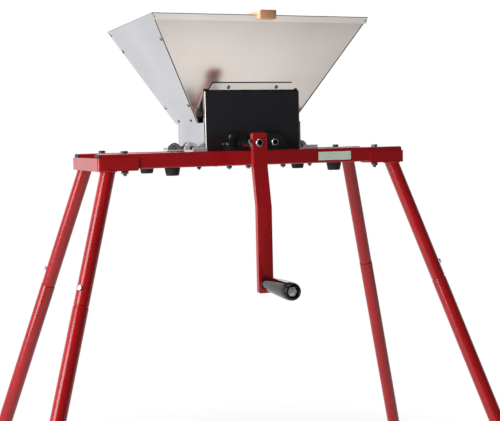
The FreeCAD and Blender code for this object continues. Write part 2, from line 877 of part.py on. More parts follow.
def bearing_block():
    """Front bearing housing on the left shaft line."""
    x = -shaft_x
    y0, y1 = bearing_front, bearing_front + bearing_depth
    half = bearing_width / 2
    foot = box(x - half, x + half, y0, y1, 0, bearing_foot)
    foot = foot.makeFillet(bearing_fillet, edges_along(foot, Vector(0, 1, 0), lambda p: p.z > 1))
    arch = rod(bearing_arch, Vector(x, y0, shaft_z), Vector(x, y1, shaft_z))
    arch = arch.common(box(x - half, x + half, y0, y1, 0, shaft_z + bearing_arch))
    body = foot.fuse(arch).removeSplitter()
    seat = rod(insert_diameter / 2 + insert_clearance, Vector(x, y0 - 1, shaft_z),
               Vector(x, y1 + 1, shaft_z))
    cuts = [seat]
    for offset in (-bearing_bolt_offset, bearing_bolt_offset):
        top = Vector(x + offset, (y0 + y1) / 2, bearing_foot)
        cuts.append(hole(m6, top, Vector(0, 0, -1), bearing_foot))
        cuts.append(spot_face(top))
    return body.cut(cuts)


def spot_face(top):
    """Flat round seat that frees a bolt head from the arch beside it."""
    return rod(spot_face_diameter / 2, top, top + Vector(0, 0, bearing_arch))


def bearing_insert():
    x = -shaft_x
    start = Vector(x, bearing_front, shaft_z)
    end = start + Vector(0, bearing_depth, 0)
    bore = rod(shaft_radius + running_clearance, start - Vector(0, 1, 0), end + Vector(0, 1, 0))
    return rod(insert_diameter / 2, start, end).cut(bore)


def bearing_bolts():
    solids = []
    down = Vector(0, 0, -1)
    for offset in (-bearing_bolt_offset, bearing_bolt_offset):
        seat = Vector(-shaft_x + offset, bearing_front + bearing_depth / 2, bearing_foot)
        length = bearing_foot + rail_height
        solids.append(bolt(m6, seat, down, length + m6["nut_height"] + bolt_tail / 2))
        solids.append(nut(m6, seat + down * length, down))
    return solids


# Rotating parts

def shaft(x, front):
    """Plain shaft with a bored front end."""
    start = Vector(x, front, shaft_z)
    solid = rod(shaft_radius, start, Vector(x, shaft_rear, shaft_z))
    solid = solid.makeChamfer(shaft_chamfer, [edge for edge in solid.Edges if edge.Closed])
    bore_end = start + Vector(0, shaft_bore_depth, 0)
    return solid.cut(rod(shaft_bore / 2, start - Vector(0, 1, 0), bore_end))


def collar(x, y0):
    start = Vector(x, y0, shaft_z)
    end = start + Vector(0, collar_width, 0)
    bore = rod(shaft_radius + running_clearance, start - Vector(0, 1, 0), end + Vector(0, 1, 0))
    return rod(collar_diameter / 2, start, end).cut(bore)


def involute(angle):
    return math.tan(angle) - angle


def gear_outline():
    """Full set of teeth as arcs and lines in the XZ plane, round the origin."""
    pitch = gear_module * gear_teeth / 2
    pressure = math.radians(gear_pressure_angle)
    base = pitch * math.cos(pressure)
    tip = pitch + gear_module
    root = pitch - gear_root_share * gear_module
    half = math.pi / (2 * gear_teeth) - gear_backlash / (4 * pitch) + involute(pressure)

    def point(radius, angle):
        return Vector(radius * math.cos(angle), 0, radius * math.sin(angle))

    def flank(radius):
        return half - involute(math.acos(min(1, base / radius)))

    middle = (base + tip) / 2
    edges = []
    for number in range(gear_teeth):
        centre = 2 * math.pi * number / gear_teeth
        next_root = 2 * math.pi * (number + 1) / gear_teeth - half
        for side in (-1, 1):
            low = point(root, centre + side * half)
            start = point(base, centre + side * half)
            through = point(middle, centre + side * flank(middle))
            end = point(tip, centre + side * flank(tip))
            edges.append(Part.makeLine(low, start))
            edges.append(Part.Arc(start, through, end).toShape())
        edges.append(Part.Arc(point(tip, centre - flank(tip)), point(tip, centre),
                              point(tip, centre + flank(tip))).toShape())
        edges.append(Part.Arc(point(root, centre + half), point(root, (centre + half + next_root) / 2),
                              point(root, next_root)).toShape())
    return Part.Wire(Part.__sortEdges__(edges))


def gear(x):
    y0 = gear_front
    y1 = y0 + gear_width
    disc = Part.Face(gear_outline()).extrude(Vector(0, gear_width, 0))
    disc.translate(Vector(x, y0, shaft_z))
    hub = rod(gear_hub_diameter / 2, Vector(x, y0, shaft_z), Vector(x, y1 + gear_hub_width, shaft_z))
    rim = gear_module * (gear_teeth / 2 - gear_rim_share)
    recess = rod(rim, Vector(x, y0 - 1, shaft_z), Vector(x, y0 + gear_web_recess, shaft_z))
    bore = rod(shaft_radius + running_clearance, Vector(x, y0 - 1, shaft_z),
               Vector(x, y1 + gear_hub_width + 1, shaft_z))
    return disc.cut(recess).fuse(hub).removeSplitter().cut(bore)


def star_outline(hand):
    """Saw toothed disc in the XZ plane: steep cutting faces and sloping backs."""
    points = []
    pitch = 2 * math.pi / roller_teeth
    root = roller_tip_radius - roller_tooth_depth
    for number in range(roller_teeth):
        start = pitch * number
        for radius, share in ((roller_tip_radius, 0), (roller_tip_radius, roller_tip_share),
                              (root, roller_slope_share), (root, roller_root_share)):
            angle = hand * (start + share * pitch)
            points.append(Vector(radius * math.cos(angle), 0, radius * math.sin(angle)))
    return points


def roller(x, hand, first_y):
    """Toothed discs on a hub; the other roller's discs run in the gaps between them."""
    pitch = roller_length / (roller_discs + 0.5)
    width = pitch / 2 - roller_disc_gap
    y0, y1 = roller_front, roller_front + roller_length
    solid = rod(roller_hub_radius, Vector(x, y0, shaft_z), Vector(x, y1, shaft_z))
    star = polygon(star_outline(hand)).extrude(Vector(0, width, 0))
    for number in range(roller_discs):
        disc = star.copy()
        disc.rotate(Vector(0, 0, 0), Vector(0, 1, 0), hand * number * 180 / roller_teeth)
        disc.translate(Vector(x, first_y + number * pitch, shaft_z))
        solid = solid.fuse(disc)
    bore = rod(shaft_radius + roller_bore_clearance, Vector(x, y0 - 1, shaft_z),
               Vector(x, y1 + 1, shaft_z))
    return solid.removeSplitter().cut(bore)


def roller_starts():
    pitch = roller_length / (roller_discs + 0.5)
    inset = roller_disc_gap / 2
    return roller_front + inset, roller_front + inset + pitch / 2


# Crank

def crank_arm():
    x = -shaft_x
    back = crank_front + crank_thickness
    low_back = crank_low_front + crank_thickness
    top = shaft_z + crank_end
    bottom = grip_z - crank_end
    side = [(crank_front, top), (crank_front, crank_jog_top), (crank_low_front, crank_jog_low),
            (crank_low_front, bottom), (low_back, bottom), (low_back, crank_jog_low),
            (back, crank_jog_top), (back, top)]
    arm = along_x(side, x - crank_width / 2, x + crank_width / 2)
    ends = edges_along(arm, Vector(0, 1, 0), lambda p: p.z > top - 1 or p.z < bottom + 1)
    arm = arm.makeFillet(crank_corner, ends)
    bends = edges_along(arm, Vector(1, 0, 0), lambda p: crank_jog_low - 1 < p.z < crank_jog_top + 1)
    arm = arm.makeFillet(crank_bend, bends)
    shaft_bore_tool = rod(shaft_radius + running_clearance, Vector(x, crank_front - 1, shaft_z),
                          Vector(x, back + 1, shaft_z))
    grip_bore = rod(grip_bolt_diameter / 2 + thread_clearance,
                    Vector(x, crank_low_front - 1, grip_z), Vector(x, low_back + 1, grip_z))
    seat = crank_screw_seat()
    screw_bore = rod(m8["shank"] / 2 + thread_clearance, seat - Vector(1, 0, 0),
                     Vector(x, seat.y, seat.z))
    return arm.cut([shaft_bore_tool, grip_bore, screw_bore])


def crank_screw_seat():
    return Vector(-shaft_x - crank_width / 2, crank_front + crank_thickness / 2, shaft_z)


def crank_set_screw():
    reach = crank_width / 2 - shaft_radius - thread_clearance
    return bolt(m8, crank_screw_seat(), Vector(1, 0, 0), reach)


def grip_bolt():
    """Shouldered bolt that carries the grip, with its head in the grip's end."""
    x = -shaft_x
    head_seat = grip_front + grip_recess_depth - end_gap
    radius = grip_bolt_diameter / 2
    back = crank_low_front + crank_thickness
    end = back + m8["nut_height"] + bolt_tail
    shank = rod(radius, Vector(x, head_seat, grip_z), Vector(x, end, grip_z))
    head_start = Vector(x, head_seat - m8["head_height"], grip_z)
    return shank.fuse(hexagon(grip_bolt_flats, m8["head_height"], head_start, Vector(0, 1, 0)))


def grip_nut():
    x = -shaft_x
    back = crank_low_front + crank_thickness
    seat = Vector(x, back, grip_z)
    size = {"shank": grip_bolt_diameter, "flats": grip_bolt_flats, "nut_height": m8["nut_height"]}
    return nut(size, seat, Vector(0, 1, 0))


def crank_grip():
    """Turned handle, thicker towards its free end, bored to spin on its bolt."""
    base = crank_low_front - end_gap
    tip = grip_front
    r0, r1 = grip_base_diameter / 2, grip_end_diameter / 2
    bore = grip_bolt_diameter / 2 + grip_clearance
    well = grip_recess_diameter / 2
    crown = tip + grip_crown
    edge = grip_edge

    def at(radius, y):
        return Vector(radius, y, 0)

    edges = [
        Part.makeLine(at(bore, base), at(r0 - edge, base)),
        Part.Arc(at(r0 - edge, base), at(r0 - 0.3 * edge, base - 0.3 * edge),
                 at(r0, base - edge)).toShape(),
        Part.makeLine(at(r0, base - edge), at(r1, crown)),
        Part.Arc(at(r1, crown), at(r1 - edge / 4, (crown + tip + edge) / 2),
                 at(r1 - edge, tip + edge)).toShape(),
        Part.Arc(at(r1 - edge, tip + edge), at(r1 - 1.3 * edge, tip + 0.3 * edge),
                 at(r1 - 2 * edge, tip)).toShape(),
        Part.makeLine(at(r1 - 2 * edge, tip), at(well, tip)),
        Part.makeLine(at(well, tip), at(well, tip + grip_recess_depth)),
        Part.makeLine(at(well, tip + grip_recess_depth), at(bore, tip + grip_recess_depth)),
        Part.makeLine(at(bore, tip + grip_recess_depth), at(bore, base)),
    ]
    solid = Part.Face(Part.Wire(edges)).revolve(Vector(0, 0, 0), Vector(0, 1, 0), 360)
    solid.translate(Vector(-shaft_x, 0, grip_z))
    return solid


# Wooden pusher

def wooden_pusher():
    y0, y1 = hopper_top_front - pusher_over, hopper_top_back + pusher_over
    z0 = hopper_rim_z + pusher_clearance - pusher_notch
    x0, x1 = pusher_x - pusher_width / 2, pusher_x + pusher_width / 2
    bar = box(x0, x1, y0, y1, z0, z0 + pusher_height)
    bar = bar.makeChamfer(pusher_edge, edges_along(bar, Vector(0, 1, 0), lambda p: True))
    gap = pusher_clearance
    notches = []
    for start in (hopper_top_front, hopper_top_back - hem_thickness):
        notches.append(box(x0 - 1, x1 + 1, start - gap, start + hem_thickness + gap,
                           z0 - 1, z0 + pusher_notch))
    return bar.cut(notches)


os.makedirs("parts", exist_ok=True)

rail = front_rail()
save("front_rail", [rail])
save("back_rail", [mirror_y(rail)])
save("rail_end_plugs", four_ways(rail_plug()))
left_bracket = end_bracket()
save("left_end_bracket", [left_bracket])
save("right_end_bracket", [mirror_x(left_bracket)])
save("rail_bolts", four_ways(rail_bolt()))
save("rail_nuts", four_ways(rail_nut()))

corners = ("front_left", "front_right", "back_left", "back_right")
for corner, upper, lower in zip(corners, four_ways(upper_leg()), four_ways(lower_leg())):
    save("upper_leg_" + corner, [upper])
    save("lower_leg_" + corner, [lower])
save("leg_bolts", four_ways(leg_bolt()))
save("leg_nuts", four_ways(leg_nut()))
save("foot_caps", four_ways(foot_cap()))
save("rubber_bumpers", four_ways(bumper()))
save("bumper_screws", four_ways(bumper_screw()))
save("blank_label", [blank_label()])

save("hopper_front_panel", [end_panel(True).cut(cover_drills())])
save("hopper_back_panel", [end_panel(False)])
left = left_panel()
save("hopper_left_panel", [left])
save("hopper_right_panel", [mirror_x(left)])
save("hopper_seam_screws", sheet_screws(seam_seats(), seam_stack))
save("throat_screws", sheet_screws(throat_seats(), throat_stack))

side_wall = left_side_wall()
save("housing_side_left", [side_wall])
save("housing_side_right", [mirror_x(side_wall)])
save("housing_front_wall", [front_wall()])
save("housing_back_wall", [back_wall()])
guide = guide_plate()
save("guide_plates", [guide, mirror_x(guide)])
left_brackets = [foot_bracket(hopper_low_front, foot_bracket_start),
                 foot_bracket(back_wall_y + housing_sheet, stand_depth - foot_bracket_start)]
save("foot_brackets", left_brackets + [mirror_x(one) for one in left_brackets])
left_bolts = foot_bracket_bolts()
save("foot_bracket_bolts", left_bolts + [mirror_x(one) for one in left_bolts])
save("gear_cover", [gear_cover()])
save("cover_screws", cover_screws())

block = bearing_block()
insert = bearing_insert()
save("front_bearing_left", [block])
save("front_bearing_right", [mirror_x(block)])
save("rear_bearing_left", [mirror_y(block)])
save("rear_bearing_right", [mirror_y(mirror_x(block))])
save("bearing_inserts", four_ways(insert))
front_bolts = bearing_bolts()
front_bolts = front_bolts + [mirror_x(one) for one in front_bolts]
save("bearing_bolts", front_bolts + [mirror_y(one) for one in front_bolts])

rear_collar_y = stand_depth - bearing_front + end_gap
front_collar_y = bearing_front - end_gap - collar_width
drive_start, driven_start = roller_starts()
save("drive_shaft", [shaft(-shaft_x, crank_front - shaft_proud)])
save("driven_shaft", [shaft(shaft_x, bearing_front - shaft_proud)])
save("drive_collars", [collar(-shaft_x, front_collar_y), collar(-shaft_x, rear_collar_y)])
save("driven_collar", [collar(shaft_x, rear_collar_y)])
save("drive_gear", [gear(-shaft_x)])
save("driven_gear", [gear(shaft_x)])
save("drive_roller", [roller(-shaft_x, 1, drive_start)])
save("driven_roller", [roller(shaft_x, -1, driven_start)])

save("crank_arm", [crank_arm()])
save("crank_set_screw", [crank_set_screw()])
save("grip_bolt", [grip_bolt()])
save("grip_nut", [grip_nut()])
save("crank_grip", [crank_grip()])
save("wooden_pusher", [wooden_pusher()])
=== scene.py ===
import json
import math

import bmesh
import bpy
from mathutils import Matrix, Vector

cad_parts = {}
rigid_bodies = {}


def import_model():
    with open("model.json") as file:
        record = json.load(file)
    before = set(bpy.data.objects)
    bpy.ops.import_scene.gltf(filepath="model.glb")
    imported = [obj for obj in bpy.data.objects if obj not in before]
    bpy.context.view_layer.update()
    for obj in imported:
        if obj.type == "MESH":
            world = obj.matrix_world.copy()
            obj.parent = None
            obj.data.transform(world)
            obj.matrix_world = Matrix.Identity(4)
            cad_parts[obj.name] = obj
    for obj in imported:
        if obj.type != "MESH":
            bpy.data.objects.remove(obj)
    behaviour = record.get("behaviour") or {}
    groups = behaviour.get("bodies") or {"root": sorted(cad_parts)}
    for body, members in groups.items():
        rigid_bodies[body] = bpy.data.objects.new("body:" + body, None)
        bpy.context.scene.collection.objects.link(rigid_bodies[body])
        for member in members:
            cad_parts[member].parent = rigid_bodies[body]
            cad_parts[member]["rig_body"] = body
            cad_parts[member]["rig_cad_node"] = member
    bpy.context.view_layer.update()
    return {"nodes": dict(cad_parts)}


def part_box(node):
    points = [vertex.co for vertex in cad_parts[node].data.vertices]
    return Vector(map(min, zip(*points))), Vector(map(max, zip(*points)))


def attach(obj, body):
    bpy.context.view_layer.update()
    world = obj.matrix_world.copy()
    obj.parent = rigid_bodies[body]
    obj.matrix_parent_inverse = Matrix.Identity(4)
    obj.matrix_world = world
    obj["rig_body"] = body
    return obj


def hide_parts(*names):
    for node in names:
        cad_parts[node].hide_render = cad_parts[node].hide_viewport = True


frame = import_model()
cadNodes = frame["nodes"]
print("frame loaded")

# Lengths of new pieces are in millimetres, X along the rails, Y back from the stand's front
# face and Z up from the rails' top, as on the drawing. The rail's own box gives the zero.
railLow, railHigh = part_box("front_rail")
bracketSheet = 3.0
drawingZero = Vector((0, railLow.y - bracketSheet / 1000, railHigh.z))
mm = 0.001


def place(x, y, z):
    return drawingZero + Vector((x, y, z)) * mm


def shade(red, green, blue):
    levels = [value / 255 for value in (red, green, blue)]
    linear = [v / 12.92 if v <= 0.04045 else ((v + 0.055) / 1.055) ** 2.4 for v in levels]
    return (*linear, 1)


# Camera, where the photograph was taken from

cameraView = {
    "place": (-772.5, -1943.7, 26.4),
    "turn": 21.085,      # degrees to the right of straight ahead
    "down": 4.04,
    "roll": 1.327,
    "lens": 74.83,
    "sensor": 36.0,
}


def addCamera(view):
    turn, down, roll = (math.radians(view[key]) for key in ("turn", "down", "roll"))
    ahead = Vector((math.sin(turn) * math.cos(down), math.cos(turn) * math.cos(down), -math.sin(down)))
    side = Vector((math.cos(turn), -math.sin(turn), 0))
    up = side.cross(ahead)
    right = side * math.cos(roll) - up * math.sin(roll)
    top = up * math.cos(roll) + side * math.sin(roll)
    bpy.ops.object.camera_add()
    camera = bpy.context.object
    camera.name = "photoCamera"
    camera.data.sensor_width = view["sensor"]
    camera.data.sensor_fit = "HORIZONTAL"
    camera.data.lens = view["lens"]
    turned = Matrix((right, top, -ahead)).transposed().to_4x4()
    camera.matrix_world = Matrix.Translation(place(*view["place"])) @ turned
    bpy.context.scene.camera = camera


bpy.ops.object.select_all(action="DESELECT")
addCamera(cameraView)
bpy.context.scene.view_settings.view_transform = "Standard"
print("camera set")


# Floor, world and lamps

studio = {
    "floorSize": 9.0,
    "floorColour": shade(240, 240, 238),
    "floorShadow": 0.32,         # share of the floor's own shading that a camera sees by the feet
    "shadowReach": (0.62, 0.9),  # metres from the middle over which that share fades out
    "floorFront": (-2.4, -1.1),  # metres over which the floor goes from dark in front to full
    "floorRight": (0.3, 1.0),
    "worldBack": (-0.5, 0.6),    # the same for the room, on a direction of length 1
    "worldHigh": (0.25, 0.75),
    "worldRight": (0.1, 0.9),
    "worldFill": 0.5,
    "worldFront": 0.13,          # level of the room in front, beside 1 behind the object
    "worldAbove": 0.5,
    "rightSide": 0.28,           # how much darker the room is to the right
    "lamps": {
        "leftPanel": {"at": (-3.05, -1.0, 1.5), "aim": (0, 0.05, 0.65), "size": (1.7, 2.4), "power": 104},
        "topPanel": {"at": (-0.6, 0.4, 3.2), "aim": (0, 0.0, 0.6), "size": (2.4, 2.0), "power": 46},
        "backPanel": {"at": (0.9, 2.6, 2.0), "aim": (0, 0, 0.6), "size": (2.6, 1.6), "power": 25},
    },
}


def mathNode(nodes, links, operation, *values):
    node = nodes.new("ShaderNodeMath")
    node.operation = operation
    for socket, value in zip(node.inputs, values):
        if isinstance(value, (int, float)):
            socket.default_value = value
        else:
            links.new(value, socket)
    return node.outputs[0]


def rangeNode(nodes, links, value, source, target):
    node = nodes.new("ShaderNodeMapRange")
    for socket, level in zip(("From Min", "From Max", "To Min", "To Max"), (*source, *target)):
        node.inputs[socket].default_value = level
    links.new(value, node.inputs["Value"])
    return node.outputs["Result"]


def seenRays(nodes, links):
    path = nodes.new("ShaderNodeLightPath")
    first = mathNode(nodes, links, "MAXIMUM", path.outputs["Is Camera Ray"], path.outputs["Is Glossy Ray"])
    return path, mathNode(nodes, links, "MAXIMUM", first, path.outputs["Is Transmission Ray"])


def addFloor(values):
    bpy.ops.mesh.primitive_plane_add(size=values["floorSize"], location=(0, 0, 0))
    floor = bpy.context.object
    floor.name = "studioFloor"
    material = bpy.data.materials.new("floorPaper")
    material.use_nodes = True
    nodes, links = material.node_tree.nodes, material.node_tree.links
    paper = nodes["Principled BSDF"]
    paper.inputs["Base Color"].default_value = values["floorColour"]
    paper.inputs["Roughness"].default_value = 0.9
    paper.inputs["Specular IOR Level"].default_value = 0.1
    glow = nodes.new("ShaderNodeEmission")
    coords = nodes.new("ShaderNodeTexCoord")
    distance = nodes.new("ShaderNodeVectorMath")
    distance.operation = "LENGTH"
    links.new(coords.outputs["Object"], distance.inputs[0])
    faded = (1 - values["floorShadow"], 1)
    share = rangeNode(nodes, links, distance.outputs["Value"], values["shadowReach"], faded)
    path, seen = seenRays(nodes, links)
    spot = nodes.new("ShaderNodeSeparateXYZ")
    links.new(coords.outputs["Object"], spot.inputs[0])
    front = rangeNode(nodes, links, spot.outputs["Y"], values["floorFront"], (values["worldFront"], 1))
    right = rangeNode(nodes, links, spot.outputs["X"], values["floorRight"], (1, 1 - values["rightSide"]))
    room = mathNode(nodes, links, "MULTIPLY", front, right)
    links.new(mathNode(nodes, links, "MAXIMUM", room, path.outputs["Is Camera Ray"]), glow.inputs["Strength"])
    mix = nodes.new("ShaderNodeMixShader")
    links.new(mathNode(nodes, links, "MULTIPLY", seen, share), mix.inputs["Fac"])
    links.new(paper.outputs[0], mix.inputs[1])
    links.new(glow.outputs[0], mix.inputs[2])
    links.new(mix.outputs[0], nodes["Material Output"].inputs["Surface"])
    floor.data.materials.append(material)


def lightWorld(values):
    world = bpy.context.scene.world or bpy.data.worlds.new("studioWorld")
    bpy.context.scene.world = world
    world.use_nodes = True
    nodes, links = world.node_tree.nodes, world.node_tree.links
    nodes.clear()
    coords = nodes.new("ShaderNodeTexCoord")
    way = nodes.new("ShaderNodeSeparateXYZ")
    links.new(coords.outputs["Generated"], way.inputs[0])
    back = rangeNode(nodes, links, way.outputs["Y"], values["worldBack"], (values["worldFront"], 1))
    above = rangeNode(nodes, links, way.outputs["Z"], values["worldHigh"], (1, values["worldAbove"]))
    right = rangeNode(nodes, links, way.outputs["X"], values["worldRight"], (1, 1 - values["rightSide"]))
    room = mathNode(nodes, links, "MULTIPLY", mathNode(nodes, links, "MULTIPLY", back, above), right)
    path, seen = seenRays(nodes, links)
    fill = nodes.new("ShaderNodeBackground")
    links.new(mathNode(nodes, links, "MULTIPLY", room, values["worldFill"]), fill.inputs["Strength"])
    backdrop = nodes.new("ShaderNodeBackground")
    shown = mathNode(nodes, links, "MAXIMUM", room, path.outputs["Is Camera Ray"])
    links.new(shown, backdrop.inputs["Strength"])
    mix = nodes.new("ShaderNodeMixShader")
    out = nodes.new("ShaderNodeOutputWorld")
    for background in (fill, backdrop):
        background.inputs["Color"].default_value = (1, 1, 1, 1)
    links.new(seen, mix.inputs["Fac"])
    links.new(fill.outputs[0], mix.inputs[1])
    links.new(backdrop.outputs[0], mix.inputs[2])
    links.new(mix.outputs[0], out.inputs["Surface"])


def addLamps(values):
    for name, lamp in values["lamps"].items():
        bpy.ops.object.light_add(type="AREA", location=lamp["at"])
        panel = bpy.context.object
        panel.name = name
        panel.data.shape = "RECTANGLE"
        panel.data.size, panel.data.size_y = lamp["size"]
        panel.data.energy = lamp["power"]
        way = Vector(lamp["aim"]) - Vector(lamp["at"])
        panel.rotation_euler = way.to_track_quat("-Z", "Y").to_euler()


addFloor(studio)
lightWorld(studio)
addLamps(studio)
print("studio ready")


# Finishes: each has its own colour variation, roughness and bump on Object coordinates

class Finish:
    def __init__(self, name, **values):
        self.material = bpy.data.materials.new(name)
        self.material.use_nodes = True
        self.nodes = self.material.node_tree.nodes
        self.links = self.material.node_tree.links
        self.shader = self.nodes["Principled BSDF"]
        for socket, value in values.items():
            self.shader.inputs[socket.replace("_", " ")].default_value = value
        self.lastBump = None
        self.coords = self.nodes.new("ShaderNodeTexCoord")

    def noise(self, scale, stretch=(1, 1, 1), detail=3, rough=0.5):
        mapping = self.nodes.new("ShaderNodeMapping")
        mapping.inputs["Scale"].default_value = stretch
        texture = self.nodes.new("ShaderNodeTexNoise")
        texture.inputs["Scale"].default_value = scale
        texture.inputs["Detail"].default_value = detail
        texture.inputs["Roughness"].default_value = rough
        self.links.new(self.coords.outputs["Object"], mapping.inputs["Vector"])
        self.links.new(mapping.outputs[0], texture.inputs["Vector"])
        return texture.outputs["Fac"]

    def colours(self, factor, *stops):
        ramp = self.nodes.new("ShaderNodeValToRGB")
        points = ramp.color_ramp.elements
        while len(points) < len(stops):
            points.new(0.5)
        for point, (position, colour) in zip(points, stops):
            point.position = position
            point.color = colour
        self.links.new(factor, ramp.inputs["Fac"])
        return ramp.outputs["Color"]

    def spread(self, factor, low, high, start=0.3, end=0.7):
        return rangeNode(self.nodes, self.links, factor, (start, end), (low, high))

    def sum(self, operation, first, second):
        return mathNode(self.nodes, self.links, operation, first, second)

    def axes(self):
        split = self.nodes.new("ShaderNodeSeparateXYZ")
        self.links.new(self.coords.outputs["Object"], split.inputs[0])
        return split.outputs

    def blend(self, factor, first, second):
        mix = self.nodes.new("ShaderNodeMix")
        mix.data_type = "RGBA"
        self.links.new(factor, mix.inputs[0])
        self.links.new(first, mix.inputs[6])
        self.links.new(second, mix.inputs[7])
        return mix.outputs[2]

    def bump(self, height, strength, distance):
        node = self.nodes.new("ShaderNodeBump")
        node.inputs["Strength"].default_value = strength
        node.inputs["Distance"].default_value = distance
        self.links.new(height, node.inputs["Height"])
        if self.lastBump:
            self.links.new(self.lastBump, node.inputs["Normal"])
        self.lastBump = node.outputs["Normal"]
        self.links.new(self.lastBump, self.shader.inputs["Normal"])

    def drive(self, socket, output):
        self.links.new(output, self.shader.inputs[socket])


def powderCoat(name, dark, light):
    finish = Finish(name, Specular_IOR_Level=0.5)
    cloud = finish.noise(9, detail=4)
    finish.drive("Base Color", finish.colours(cloud, (0.35, dark), (0.65, light)))
    finish.drive("Roughness", finish.spread(finish.noise(26, detail=5), 0.17, 0.24))
    finish.bump(finish.noise(260, detail=1), 0.015, 0.0003)
    return finish.material


def sheetSteel(name, dark, light, grain, roughLow, roughHigh):
    finish = Finish(name, Metallic=1.0)
    streaks = finish.noise(90, stretch=grain, detail=3, rough=0.6)
    cloud = finish.noise(5, detail=3)
    tone = finish.sum("ADD", finish.sum("MULTIPLY", streaks, 0.2), finish.sum("MULTIPLY", cloud, 0.8))
    finish.drive("Base Color", finish.colours(tone, (0.34, dark), (0.66, light)))
    rough = finish.sum("ADD", finish.spread(streaks, 0.0, 0.03), finish.spread(cloud, roughLow, roughHigh))
    finish.drive("Roughness", rough)
    finish.bump(finish.noise(3.2, detail=1), 0.25, 0.004)
    return finish.material


def plainMetal(name, dark, light, roughLow, roughHigh, scale=160, dent=0.0003):
    finish = Finish(name, Metallic=1.0)
    cloud = finish.noise(scale, detail=5)
    finish.drive("Base Color", finish.colours(cloud, (0.3, dark), (0.7, light)))
    finish.drive("Roughness", finish.spread(finish.noise(scale * 2, detail=3), roughLow, roughHigh))
    finish.bump(finish.noise(scale * 4, detail=2), 0.12, dent)
    return finish.material


def plainPolymer(name, dark, light, roughLow, roughHigh, scale, dent, gloss=0.45):
    finish = Finish(name, Specular_IOR_Level=gloss)
    cloud = finish.noise(scale / 8, detail=4)
    finish.drive("Base Color", finish.colours(cloud, (0.35, dark), (0.65, light)))
    finish.drive("Roughness", finish.spread(cloud, roughLow, roughHigh))
    finish.bump(finish.noise(scale, detail=2), 0.25, dent)
    return finish.material


redPaint = powderCoat("redPaint", shade(162, 16, 23), shade(174, 19, 26))
# The next two finishes are one stainless sheet in two tints: the front copy is painted lighter and warmer and
# the side copy darker and cooler, as painted reflection of the light each panel faces.
frontSteelPaintedReflection = sheetSteel("frontSteelPaintedReflection", shade(212, 203, 197), shade(228, 219, 213), (0.05, 1, 1), 0.11, 0.17)
sideSteelPaintedReflection = sheetSteel("sideSteelPaintedReflection", shade(190, 190, 195), shade(209, 209, 214), (1, 0.05, 1), 0.16, 0.24)
# darker metal for the sheets' cut edges and the tops of the rolled rims: partly the duller cut steel, partly
# painted shade for the dark seam lines between panels
cutEdgeSeamShade = plainMetal("cutEdgeSeamShade", shade(70, 70, 69), shade(104, 103, 101), 0.35, 0.5)
# The next two are one zinc plating in two copies: a darkened one, painted shade for the fasteners, and a
# lighter, partly diffuse one, painted light for the lugs and the grip bolt.
zincPaintedShade = plainMetal("zincPaintedShade", shade(96, 96, 98), shade(146, 146, 145), 0.14, 0.26)
zincPaintedLight = plainMetal("zincPaintedLight", shade(222, 223, 225), shade(240, 240, 241), 0.2, 0.3)
zincPaintedLight.node_tree.nodes["Principled BSDF"].inputs["Metallic"].default_value = 0.4
gearSteel = plainMetal("gearSteel", shade(120, 122, 124), shade(158, 160, 160), 0.3, 0.45)
oiledSteel = plainMetal("oiledSteel", shade(58, 58, 61), shade(88, 88, 91), 0.2, 0.32)
castAluminium = plainMetal("castAluminium", shade(158, 160, 160), shade(190, 191, 190), 0.42, 0.6, 90, 0.0008)
blackNylon = plainPolymer("blackNylon", shade(18, 18, 19), shade(28, 28, 29), 0.32, 0.46, 500, 0.0003)
blackPlastic = plainPolymer("blackPlastic", shade(9, 9, 10), shade(15, 15, 16), 0.1, 0.16, 300, 0.00005, 0.3)
plugPlastic = plainPolymer("plugPlastic", shade(16, 16, 17), shade(24, 24, 25), 0.5, 0.62, 420, 0.0002)
blackRubber = plainPolymer("blackRubber", shade(22, 22, 23), shade(32, 32, 33), 0.62, 0.8, 700, 0.0004)
blackCasting = plainPolymer("blackCasting", shade(12, 12, 13), shade(22, 22, 24), 0.3, 0.45, 320, 0.0006)
labelFilm = plainPolymer("labelFilm", shade(230, 250, 232), shade(236, 254, 238), 0.3, 0.42, 600, 0.0002)


coverLook = {
    "front": 33.0, "edge": 2.2, "top": 119.6,        # the painted dark reflection ends here, in millimetres
    "flangeFacing": (0, -0.871, -0.491), "shearedBelow": 0.6,
}


